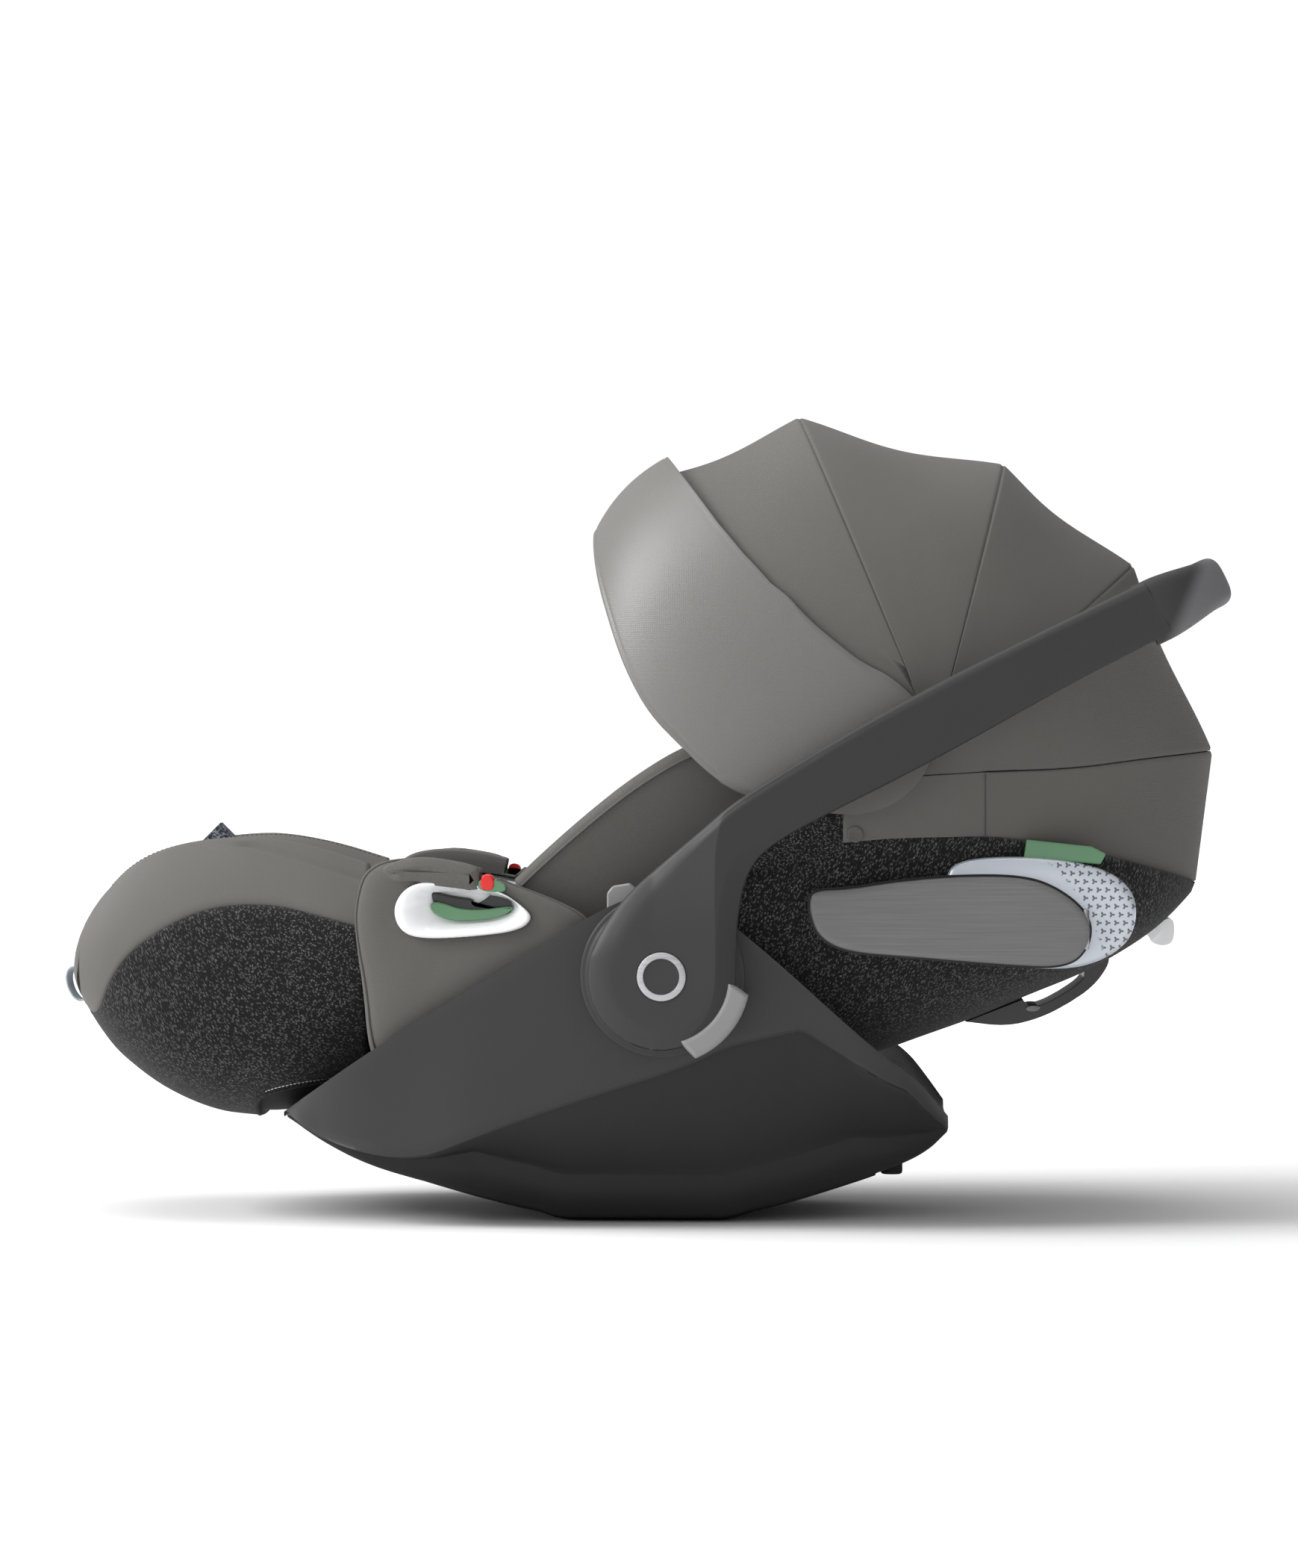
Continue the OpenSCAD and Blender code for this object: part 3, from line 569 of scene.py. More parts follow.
def plastic_nodes(name, rgb, rough=0.5, grain=0.18, spec=0.4, worn=1.25, coat=0.0, size=1600):
    """Moulded plastic: fine grain, uneven gloss and lighter worn edges."""
    n = Finish(name)
    c = lin(rgb)
    v = n.coord("Object")
    g = n.noise(v, size, 2, 0.55)
    slow = n.noise(v, 22, 3, 0.55)
    edge = n.ramp(n.add("NewGeometry").outputs["Pointiness"], (0.505, 0.0), (0.56, 1.0))
    edge = n.math("MULTIPLY", edge, n.ramp(slow, (0.35, 0.2), (0.7, 0.8)))
    col = n.blend(slow, shade(c, 0.95), shade(c, 1.05))
    col = n.blend(edge, col, shade(c, worn))
    rr = n.ramp(slow, (0.25, max(rough - 0.05, 0.03)), (0.75, min(rough + 0.06, 1)))
    n.set(Base_Color=col, Roughness=rr, Normal=n.bump(g, grain, 0.00025), Specular_IOR_Level=spec, Coat_Weight=coat,
          Coat_Roughness=0.12)
    return n, col


def plastic(*args, **options):
    return plastic_nodes(*args, **options)[0].mat


def grip_skin(name, dark, light):
    """Soft-touch skin that fades in past a slanted line at the end of each arm."""
    n, skin = plastic_nodes(name, light, rough=0.6, grain=0.3, spec=0.3)
    x, _, z = n.axes(n.add("TexCoord").outputs["Object"])
    start = 0.360 - 0.42 * 0.415
    return n.set(Base_Color=n.blend(n.fade(n.math("MULTIPLY_ADD", z, -0.42, x), start + 0.004, start + 0.018),
                                    lin(dark), skin))


def brushed(name, rgb, rough=0.42, metal=0.35, axis=0, depth=0.5):
    """Fine lines brushed along one axis."""
    n = Finish(name)
    c = lin(rgb)
    scale = [900, 900, 900]
    scale[axis] = 14
    v = n.coord("Object", tuple(scale))
    lines = n.noise(v, 1.0, 3, 0.6)
    slow = n.noise(n.coord("Object"), 16, 2)
    col = n.blend(n.ramp(lines, (0.3, 0.0), (0.7, 1.0)), shade(c, 0.86), shade(c, 1.14))
    mixed = n.math("ADD", n.math("MULTIPLY", lines, 0.7), n.math("MULTIPLY", slow, 0.3))
    rr = n.ramp(mixed, (0.3, rough - 0.08), (0.7, rough + 0.1))
    nrm = n.bump(lines, depth, 0.00008)
    return n.set(Base_Color=col, Roughness=rr, Normal=nrm, Metallic=metal, Specular_IOR_Level=0.5)


def silver(name, rgb):
    """Satin silver plastic. The rear part has rows of small three-armed dimples, coloured a darker grey as painted
    shade.
    """
    n = Finish(name)
    c = lin(rgb)
    v = n.coord("Object")
    slow = n.noise(v, 18, 2)
    col = n.blend(slow, shade(c, 0.93), shade(c, 1.05))
    nrm = n.bump(n.noise(v, 2400, 2), 0.12, 0.0001)

    def far(a, b):
        return n.math("SQRT", n.math("ADD", n.math("MULTIPLY", a, a), n.math("MULTIPLY", b, b)))

    x, _, z = n.axes(v)
    row = n.math("MULTIPLY", z, 1 / 0.0058)
    shift = n.math("MULTIPLY", n.math("FLOOR", row), 0.5)
    u = n.math("ADD", n.math("MULTIPLY", x, 1 / 0.0062), shift)
    fu, fv = (n.math("SUBTRACT", n.math("FRACT", k), 0.5) for k in (u, row))
    arms = n.math("MULTIPLY", n.math("COSINE", n.math("MULTIPLY", n.math("ARCTAN2", fv, fu), 3.0)), 0.13)
    hole = n.math("MULTIPLY", n.math("SUBTRACT", n.math("ADD", arms, 0.25), far(fu, fv)), 14.0, clamp=True)
    # only past an arc that follows the plate's rear end
    out = far(n.math("SUBTRACT", x, 0.2144), n.math("SUBTRACT", z, 0.1731))
    hole = n.math("MULTIPLY", hole, n.math("MULTIPLY", n.math("SUBTRACT", out, 0.1125), 400.0, clamp=True))
    # painted shade: the dimples take a darker grey
    col = n.blend(hole, col, lin((96, 99, 104)))
    nrm = n.bump(n.math("SUBTRACT", 1.0, hole), 0.7, 0.0009, nrm)
    return n.set(Base_Color=col, Roughness=n.ramp(slow, (0.3, 0.26), (0.7, 0.36)), Normal=nrm,
                 Metallic=0.35, Specular_IOR_Level=0.6, Coat_Weight=0.2, Coat_Roughness=0.15)


def webbing(name, rgb):
    """Woven strap: slanted ribs across the strap and a firmer edge."""
    n = Finish(name)
    c = lin(rgb)
    v = n.coord("UV", (1, 1, 1), 0.55)
    k = 2 * math.pi / (20 * 0.0016)
    rib = n.wave(v, "Y", k, 0.3)
    yarn = n.wave(n.coord("UV"), "X", k * 1.6, 0.3)
    fine = n.noise(n.coord("UV"), 1500, 2)
    col = n.blend(rib, shade(c, 0.7), shade(c, 1.25))
    col = n.blend(n.math("MULTIPLY", fine, 0.5), col, shade(c, 1.5))
    nrm = n.bump(n.math("ADD", rib, n.math("MULTIPLY", yarn, 0.6)), 0.6, 0.0003)
    return n.set(Base_Color=col, Roughness=n.ramp(fine, (0.2, 0.6), (0.8, 0.75)), Normal=nrm,
                 Sheen_Weight=0.15, Specular_IOR_Level=0.35)


def speckle(name):
    """Dark woven tape with pale flecks."""
    n = Finish(name)
    v = n.coord("Object")
    vor = n.add("TexVoronoi", None, Vector=v, Scale=900.0)
    sep = n.add("SeparateColor", None, Color=vor.outputs["Color"])
    f = n.ramp(sep.outputs[0], (0.5, 0.0), (1.0, 1.0))
    col = n.blend(f, lin((34, 38, 48)), lin((150, 156, 170)))
    return n.set(Base_Color=col, Roughness=n.ramp(sep.outputs[1], (0.0, 0.35), (1.0, 0.7)),
                 Normal=n.bump(vor.outputs["Distance"], 0.5, 0.0003))


GREY = cloth("fabric_grey", (99, 97, 94), sheen=0.06, spec=0.18)
GREY_SATIN = cloth("fabric_visor", (102, 100, 97), rough=0.46, sheen=0.05, spec=0.75, coat=0.08)
GREY_PAD = cloth("fabric_pad", (94, 92, 89), sheen=0.06, spec=0.18)
GREY_SIM = cloth("fabric_cushion", (93, 91, 89), coord="Object", sheen=0.06, spec=0.18)
LINER = cloth("fabric_liner", (62, 62, 62), coord="Object")
KNIT_HEAD = knit("knit_head", (29, 29, 30), (124, 124, 126), -0.95)
KNIT_HEAD_FLAT = knit("knit_cheek", (29, 29, 30), (124, 124, 126), -0.95, "Object")
KNIT_LEG = knit("knit_leg", (28, 28, 29), (118, 118, 120), 0.75)
SHELL = plastic("shell_grey", (54, 54, 55), rough=0.5, spec=0.3)
# darker copy of the shell grey: painted shade for the base's downward faces
SHELL_LOW_PAINTED_SHADE = plastic("shell_lower_painted_shade", (40, 40, 41), rough=0.52, spec=0.25)
SHELL_ARM = plastic("shell_arm", (55, 55, 56), rough=0.46, spec=0.3)
DARK = plastic("dark_plastic", (36, 36, 37), rough=0.5, spec=0.3)
INNER = plastic("shell_inner", (34, 34, 35), rough=0.65)
# pale grey: painted light for the shaded inner walls at the rear of the base
INNER_WALL_PAINTED_LIGHT = plastic("shell_rear_painted_light", (188, 188, 189), rough=0.7)
# darker copy of the arm's grey: painted shade
SHELL_ARM_PAINTED_SHADE = plastic("shell_arm_painted_shade", (47, 47, 48), rough=0.46, spec=0.3)
RUBBER = plastic("rubber_black", (26, 26, 27), rough=0.8, grain=0.4, size=900)
GRIP = grip_skin("grip_grey", (52, 52, 53), (104, 104, 106))
BUTTON = plastic("button_grey", (136, 136, 137), rough=0.42, spec=0.35)
WHITE = plastic("white_plastic", (245, 246, 248), rough=0.12, grain=0.04, spec=0.55, worn=1.0, coat=0.6)
GREEN = plastic("green_plastic", (88, 130, 96), rough=0.36, grain=0.08, worn=1.15, coat=0.25)
RED = plastic("red_plastic", (206, 20, 14), rough=0.25, grain=0.06, worn=1.2, coat=0.4)
HOOK = plastic("hook_black", (24, 24, 25), rough=0.28, grain=0.08, spec=0.5, worn=1.4, coat=0.2)
STEEL = brushed("steel", (168, 168, 172), rough=0.32, metal=1.0, axis=1)
BADGE = brushed("badge_silver", (180, 180, 183), rough=0.35, metal=0.3, axis=0, depth=0.2)
PLATE = brushed("plate_brushed", (108, 108, 109), rough=0.42, metal=0.25, axis=0)
SILVER = silver("housing_silver", (196, 202, 211))
STRAP = webbing("webbing", (44, 44, 46))
LOOP = webbing("loop_webbing", (186, 196, 206))
THREAD = plastic("thread_light", (158, 157, 154), rough=0.8, grain=0.3, size=3000)
THREAD_WHITE = plastic("thread_white", (205, 206, 208), rough=0.8, grain=0.3, size=3000)
KNIT_FLAT = knit("knit_hem", (24, 24, 25), (90, 90, 92), 0.75, "Object")
THREAD_DARK = plastic("thread_dark", (70, 69, 67), rough=0.85, grain=0.3, size=3000)
TAB = speckle("tab_speckle")


# ---- base

hub = (15.7, 180.6)             # (x, z) of the handle's and the backrest's hinge
pivot = (151.0, 351.0)          # (x, z) of the canopy's
FLAT = 66                       # half length of the rocker's flat
base_top = cut([[-259, 79], [-192, 126], [-139, 159], [-83, 193], [-41, 219], [-12, 234], [15, 240], [42, 233],
                [69, 213], [101, 186], [137, 153], [174, 120], [192, 109], [206, 92], [218, 76]])
base_low = cut([[-259, 71], [-235, 55], [-200, 38], [-158, 26], [-115, 14], [-FLAT, 3], [0, 0], [FLAT, 3],
                [100, 11], [126, 18.5], [176, 34], [203, 46], [218, 61]])
crease = cut([[-259, 72], [-176, 44], [-104, 73], [-33, 97], [31, 117], [61, 132], [93, 139], [128, 146],
              [149, 141], [190, 95], [218, 66]], 3)
base_w = cut([[-259, 108], [-245, 138], [-225, 162], [-200, 176], [-150, 183], [-60, 188], [15, 190],
              [100, 189], [150, 182], [180, 162], [200, 136], [218, 98]])
base_bw = cut([[-259, 84], [-200, 112], [-100, 126], [0, 130], [100, 126], [176, 110], [218, 80]])
PLATE_T = 2.0                   # thickness of the wear plate


def floor_z(x):
    """The rocker's underside, flat where the seat stands."""
    low = at(x, base_low)
    flat = np.clip((np.abs(x) - FLAT + 14) / 28, 0, 1)
    return low * smooth_step(flat)


def bez(a, b, c, m):
    """m points of a curve from a to c that leans towards b."""
    t = np.linspace(0, 1, m)[:, None]
    return (1 - t) ** 2 * np.array(a) + 2 * t * (1 - t) * np.array(b) + t * t * np.array(c)


def base_profile(x):
    """Half section from the top edge, over the crease and round to the middle of the floor."""
    zt, zb = at(x, base_top), floor_z(x) + PLATE_T
    h = zt - zb
    wt, wb = at(x, base_w), at(x, base_bw)
    zc = min(max(at(x, crease), zb + (7 if x < 120 else h * 0.35)), zt - h * 0.2)
    d = 4.0 * min(1, max(0, (150 - x) / 40), max(0, (x + 190) / 40))
    r = min(34, h * 0.3, (zc - zb) * 0.7)
    wc = wb + (wt - wb) * (0.5 + 0.36 * smooth_step((zc - zb) / h / 0.35))
    p0, p2, p3 = (wt, zt), (wc, zc), (wc - d, zc - d * 0.8)
    p1 = ((p0[0] * 0.5 + p2[0] * 0.5) + 4, (zt + zc) / 2)
    p5 = (wb, zb + r)
    p4 = (p3[0] * 0.55 + wb * 0.45 + 6, (zc + zb + r) / 2)
    upper = bez(p0, p1, p2, 14)
    lower = bez(p3, p4, p5, 14)
    under = cut([p5, (wb - r * 0.12, zb + r * 0.42), (wb - r * 0.6, zb + r * 0.02), (wb - r * 1.3, zb),
                 (wb * 0.3, zb)], 2)
    lip = [upper[0] + (-1.2, 0.0)]
    step = [upper[-1] * 0.75 + lower[0] * 0.25, upper[-1] * 0.25 + lower[0] * 0.75]
    return np.vstack([lip, upper, step, lower, under[1:], [[0, zb]]])


def row_of(x, half):
    """Both halves of the base's section at x, as one row."""
    left = np.stack([np.full(len(half), x), -half[:, 0], half[:, 1]], 1)
    right = np.stack([np.full(len(half) - 1, x), half[-2::-1, 0], half[-2::-1, 1]], 1)
    return np.vstack([left, right])


def inner_row(row, t):
    """A row offset inward, up and towards the middle."""
    p = row[:, 1:]
    d = unit(np.gradient(p, axis=0))
    q = p + np.stack([-d[:, 1], d[:, 0]], 1) * t
    top = p[0, 1]
    q[:, 1] = np.minimum(q[:, 1], top - 0.4)
    q[0] = (p[0, 0] + t * 0.8, top)
    q[-1] = (p[-1, 0] - t * 0.8, top)
    mid = len(q) // 2
    q[:mid, 0] = np.minimum(q[:mid, 0], 0)
    q[mid + 1:, 0] = np.maximum(q[mid + 1:, 0], 0)
    return np.column_stack([row[:, 0], q])


def build_base():
    xs = np.unique(np.concatenate([np.linspace(-259, -232, 14), np.linspace(-232, 192, 96), np.linspace(192, 218, 16)]))
    o = np.array([row_of(x, base_profile(x)) for x in xs])
    q = np.array([inner_row(r, 4.0) for r in o])
    body = sheet("base_body", o, q, bulge=0.25, sharp=60)
    place(body, SHELL, "root", "base_shell")
    edge = 16               # columns from the rim down past the crease
    columns = range(edge, o.shape[1] - 1 - edge)
    # painted shade: the wall below the crease and the underside take the darker copy of the shell grey
    paint(body, SHELL_LOW_PAINTED_SHADE, lambda face: on_outside(face, o) and on_outside(face, o)[1] in columns)
    # painted light: a pale grey on the inner faces at the shell's rear, which lie in deep shade and would render near
    # black
    paint(body, INNER_WALL_PAINTED_LIGHT, lambda face: face.center.x > 0.135 and abs(face.center.y) < 0.178
          and face.normal.y * face.center.y < 0 and face.center.z > 0.06)
    xs = np.linspace(-172, 166, 70)
    ks = np.concatenate([[-1, -0.985], np.linspace(-0.96, 0.96, 21), [0.985, 1]])
    half = np.array([at(x, base_bw) - 36 for x in xs])
    o = np.array([[[x, k * w, floor_z(x) + (0.7 if abs(k) == 1 else 0)] for k in ks] for x, w in zip(xs, half)])
    q = o + np.array([0, 0, PLATE_T])
    place(sheet("wear_plate", o, q), DARK, "root", "skid_plate")
    for s, tag in SIDES:
        z = floor_z(178) - 4
        foot = post("rocker_foot_" + tag, 178, s * 60,
                    [(0.01, z), (6.4, z), (7.6, z + 0.8), (8, z + 2.2), (8, z + 9), (0.01, z + 9)], 40)
        place(foot, RUBBER, "root", *once(s, "rocker_feet"))
        ring = lathe("hub_ring_" + tag, hub, s, [(30, 176), (58, 176), (58, 189.2), (57.6, 190.4), (56.6, 191.1),
                     (55.0, 191.2), (54.0, 191.6), (53.0, 192.8), (52.0, 193.4), (30, 193.4)], 120)
        place(ring, SHELL, "root", *once(s, "hub_bearings"))


build_base()


# ---- seat pan, cushion and harness on the base

pan_top = cut([[-158, 205], [-112, 212], [-70, 212], [-30, 208], [-2, 200]])
pan_low = cut([[-158, 103], [-108, 103], [-50, 91], [-2, 87]])


def puff(obj, voxel, cap, pressure=4.0, frames=20):
    """Inflates a soft solid with a short cloth run, caps how far its points move, and leaves a smooth mesh."""
    bpy.context.view_layer.objects.active = obj
    mod = obj.modifiers.new("remesh", "REMESH")
    mod.mode = "VOXEL"
    mod.voxel_size = voxel
    dg = bpy.context.evaluated_depsgraph_get()
    mesh = bpy.data.meshes.new_from_object(obj.evaluated_get(dg))
    obj.modifiers.clear()
    obj.data = mesh
    rest = np.array([v.co for v in mesh.vertices])
    cloth_mod = obj.modifiers.new("air", "CLOTH")
    st = cloth_mod.settings
    st.use_pressure = True
    st.uniform_pressure_force = pressure
    st.effector_weights.gravity = 0
    st.quality = 5
    st.mass = 0.25
    scene.frame_start, scene.frame_end = 1, frames
    for f in range(1, frames + 1):
        scene.frame_set(f)
    dg = bpy.context.evaluated_depsgraph_get()
    e = obj.evaluated_get(dg).data
    moved = np.array([v.co for v in e.vertices])
    obj.modifiers.clear()
    scene.frame_set(1)
    d = moved - rest
    far = np.linalg.norm(d, axis=1)
    d *= np.minimum(1, cap / np.maximum(far, 1e-9))[:, None]
    mesh.vertices.foreach_set("co", (rest + d).astype(np.float32).ravel())
    mesh.update()
    bm = bmesh.new()
    bm.from_mesh(mesh)
    for _ in range(4):
        bmesh.ops.smooth_vert(bm, verts=bm.verts, factor=0.5, use_axis_x=True, use_axis_y=True, use_axis_z=True)
    for f in bm.faces:
        f.smooth = True
    bm.to_mesh(mesh)
    bm.free()
    mod = obj.modifiers.new("soft", "SUBSURF")
    mod.levels = 1
    mod.render_levels = 1
    return obj


def slab(name, ring_pts, thick, lift):
    """Flat cushion blank: a rounded outline in XY, thickness along Z, later inflated."""
    p = np.asarray(ring_pts, float)
    rings = []
    c = p.mean(0)
    for f, z in [(0.86, 0.0), (0.96, 0.12), (1.0, 0.35), (1.0, 0.65), (0.96, 0.88), (0.86, 1.0)]:
        q = c + (p - c) * f
        rings.append(np.column_stack([q, lift(q[:, 0]) + z * thick]))
    return tube(name, rings)


def build_seat():
    xs = np.linspace(-158, -2, 26)

    def tub(up, rise, wb, wt, n):
        return np.array([u_row(x, at(x, pan_low) + up, x, at(x, pan_top) + rise, wb, wt, n, 60) for x in xs])

    place(sheet("seat_tub", tub(0, 0, 147, 151.5, 5), tub(5, 0, 142.5, 147.5, 5)), INNER, "root", "seat_pan")
    # liner fabric over the inside of the tub, closed at the front by the leg rest
    place(sheet("tub_liner", tub(5.6, 1.5, 142, 147, 4.4), tub(9, 1.5, 136, 140, 4.0)), LINER, "root")

    edge = cut_ring([[-124, -96], [-124, 96], [-78, 106], [-36, 98], [-33, 0], [-36, -98], [-78, -106]], 4)
    low = cut([[-130, 114], [-100, 112], [-60, 106], [-30, 103]])
    pad = slab("seat_cushion_pad", edge, 34, lambda x: at(x, low))
    pad_out(puff(pad, 0.006, 0.007), 0.6, GREY_SIM, "root", "seat_cushion")


build_seat()

strap_line = np.array([[196, 217], [150, 195], [100, 184], [50, 174], [10, 170], [-30, 175], [-76, 189]], float)


def ribbon(name, line, width, thick, across=(0, 1, 0)):
    """Flat strap along a line of points: its width lies along across."""
    p = np.asarray(line, float)
    d = unit(np.gradient(p, axis=0))
    a = np.broadcast_to(np.array(across, float), p.shape)
    a = unit(a - d * np.sum(a * d, 1)[:, None])
    b = np.cross(a, d)
    shape = [(u * width / 2, face * thick / 2 * (1 - 0.35 * abs(u) ** 6))
             for face in (1, -1) for u in face * np.linspace(-1, 1, 9)]
    return tube(name, np.stack([p + a * u + b * v for u, v in shape], 1), False, 60)


def strap_run(points, s, near, far, up, m):
    """Points along a shoulder strap, whose distance from the middle goes from near to far."""
    pts = cut(points, 3)
    t = np.linspace(0, 1, len(pts))
    return even(np.column_stack([pts[:, 0], s * (near + (far - near) * t), pts[:, 1] + up]), m)


def build_harness():
    straps, threads = [], []
    half_w, half_t, m = 23, 5.4, 46
    for s, tag in SIDES:
        straps.append(ribbon("strap_" + tag, strap_run(strap_line, s, 48, 16, 1.2, 90), 25, 1.8))
        line = strap_run(strap_line[1:4], s, 46, 38, 7.4, m)
        fat = np.sin(np.linspace(0.22, math.pi - 0.22, m)) ** 0.35
        d = unit(np.gradient(line, axis=0))
        a = unit(np.cross(d, [0, 0, 1.0]))
        b = np.cross(a, d)
        rings = []
        for q in np.linspace(0, 2 * math.pi, 40, endpoint=False):
            u, v = half_w * signed(math.cos(q), 0.5), half_t * signed(math.sin(q), 0.8)
            rings.append(line + a * (u * (0.9 + 0.1 * fat))[:, None] + b * (v * fat)[:, None])
        pad_out(tube("shoulder_pad_" + tag, np.stack(rings, 1), False, 70), 0.5, GREY_PAD, "head",
                *once(s, "shoulder_pads"))
        for side in (-18.5, 18.5):
            row = line + a * side + b * (half_t * fat * 0.80)[:, None]
            threads.append(stitches("pad_stitch", row[3:-3], 3.6, 2.2, 0.3))
    place(join("harness_straps", straps), STRAP, "head", "shoulder_straps")
    place(join("shoulder_pad_stitches", threads), THREAD, "head")

    for name, m, points, width, thick, node in (
            ("crotch_webbing", 16, [[-91.5, 136], [-88, 146], [-83.5, 158], [-80.5, 169]], 38, 2.6, "crotch_strap"),
            ("adjuster_webbing", 14, [[-140, 119], [-147, 118], [-152, 115], [-156.5, 111.3]], 24, 1.8,
             "adjuster_strap")):
        place(ribbon(name, even([[x, 0, z] for x, z in points], m), width, thick), STRAP, "root", node)
    cover = even([[-92.5, 0, 136], [-89.5, 0, 146], [-86.5, 0, 156]], 12)
    pad_out(ribbon("crotch_pad", cover, 46, 9), 0.5, GREY_PAD, "root")


build_harness()


# ---- hard parts that keep the CAD shape, with rounded edges

for name, node, width, segments, mat, body in (
        ("buckle_case", "buckle", 1.6, 4, DARK, "root"),
        ("buckle_push", "buckle_button", 1.2, 4, RED, "buckle_press"),
        ("buckle_tongues", "strap_tongues", 0.7, 3, STEEL, "root"),
        ("adjuster_case", "adjuster", 1.2, 3, DARK, "root"),
        ("adjuster_push", "adjuster_button", 0.9, 3, BUTTON, "adjuster_press"),
        ("adapter_tab_l", "adapter_button_l", 1.6, 4, BUTTON, "adapter_l"),
        ("adapter_tab_r", "adapter_button_r", 1.6, 4, BUTTON, "adapter_r"),
        ("belt_hook_body", "belt_hook", 2.2, 4, HOOK, "backrest"),
        ("rear_belt_guides", "rear_guides", 1.4, 4, GREEN, "backrest"),
        ("canopy_brackets", "canopy_mounts", 1.2, 3, DARK, "backrest"),
        ("recline_handle", "recline_lever", 2.4, 5, WHITE, "lever")):
    place(soften(name, node, width, segments), mat, body, node)


# ---- side covers and belt guides

cover_edge = cut_ring([[-204, 228], [-196, 258], [-158, 264], [-112, 256], [-98, 246], [-63, 234], [-34, 219],
                       [-38, 200], [-83, 172], [-139, 138], [-186, 112], [-194, 130], [-197, 168], [-203, 205]], 3)
slot_edge = cut_ring([[-150, 235], [-146, 239], [-100, 236], [-88, 229], [-98, 221], [-128, 218], [-142, 221]], 3)
guide_edge = cut_ring([[-176, 228], [-166, 243], [-146, 247], [-104, 242], [-84, 229], [-76, 220], [-86, 211],
                       [-118, 207], [-158, 205], [-172, 212]], 3)


def ray_ring(outline, centre, m):
    """Points where even rays from a centre meet an outline, so that outlines share their rays."""
    c = np.array(centre)
    p = np.asarray(outline) - c
    ang = np.unwrap(np.arctan2(p[:, 1], p[:, 0]))
    if ang[-1] < ang[0]:
        p, ang = p[::-1], np.unwrap(np.arctan2(p[::-1, 1], p[::-1, 0]))
    rad = np.linalg.norm(p, axis=1)
    full = np.concatenate([ang - 2 * math.pi, ang, ang + 2 * math.pi])
    order = np.argsort(full)
    theta = np.linspace(0, 2 * math.pi, m, endpoint=False)
    r = np.interp(theta, full[order], np.concatenate([rad, rad, rad])[order])
    return c + np.stack([np.cos(theta), np.sin(theta)], 1) * r[:, None]


# inside the slot: a dark lever and pawl, a green lip below, a grey block, and the latch's red key and its cheek.
# Name, material, node, corner cuts, points round it, corners, levels of (inset, distance from the middle), sharp angle
SLOT_PARTS = [
    ("belt_lever_", HOOK, None, 1, 120,
     [[-149.5, 239], [-143, 237.5], [-131, 235], [-119, 233.6], [-119.5, 229.6], [-112, 228.8], [-104, 228],
      [-96, 227], [-92, 226], [-92, 222], [-110, 221], [-134, 224], [-148, 231]],
     [(0, 154), (0, 159.6), (0.6, 160.4), (1.6, 160.8)], 35),
    ("belt_pawl_", HOOK, None, 1, 90,
     [[-118.5, 229], [-110, 233.5], [-104, 240], [-95, 236.5], [-89, 229], [-91, 224], [-112, 224]],
     [(0, 154), (0, 158), (0.6, 158.8)], 35),
    ("belt_lip_", GREEN, "guide_liners", 3, 120,
     [[-149, 231], [-143, 231.5], [-128, 226], [-110, 226], [-97, 228], [-89, 228], [-99, 220], [-128, 217.2],
      [-143, 220], [-150, 226]], [(0, 154), (0, 163.6), (0.5, 164.6), (1.4, 165)], 35),
    ("belt_block_", BUTTON, None, 2, 70, [[-93, 236], [-84, 234], [-80, 228], [-84, 224], [-92, 225]],
     [(0, 154), (0, 158.5), (0.8, 159.4)], 35),
    ("belt_flap_shadow_", INNER, None, 1, 60,
     # painted shadow: a dark strip that shows along the lower right edge of the lid, for the shade under it
     [[-136, 242.5], [-118, 240.5], [-115, 240.5], [-115, 253], [-120, 255], [-136, 254]],
     [(-1.2, 161), (-1.2, 164.6), (-0.8, 166), (0.6, 166.8)], 60),
    ("belt_release_", RED, "belt_latches", 2, 60,
     [[-113.5, 240], [-104.5, 239.5], [-103.5, 246], [-105, 250.5], [-111.5, 251.5], [-113.5, 247]],
     [(0, 160), (0, 173.2), (0.5, 174.1), (1.3, 174.5)], 35),
    ("belt_cheek_", GREEN, None, 2, 60, [[-117, 240], [-96, 237.5], [-95, 243.5], [-101, 246.5], [-114, 249]],
     [(0, 160), (0, 172.4), (0.5, 173.2), (1.2, 173.5)], 35),
]


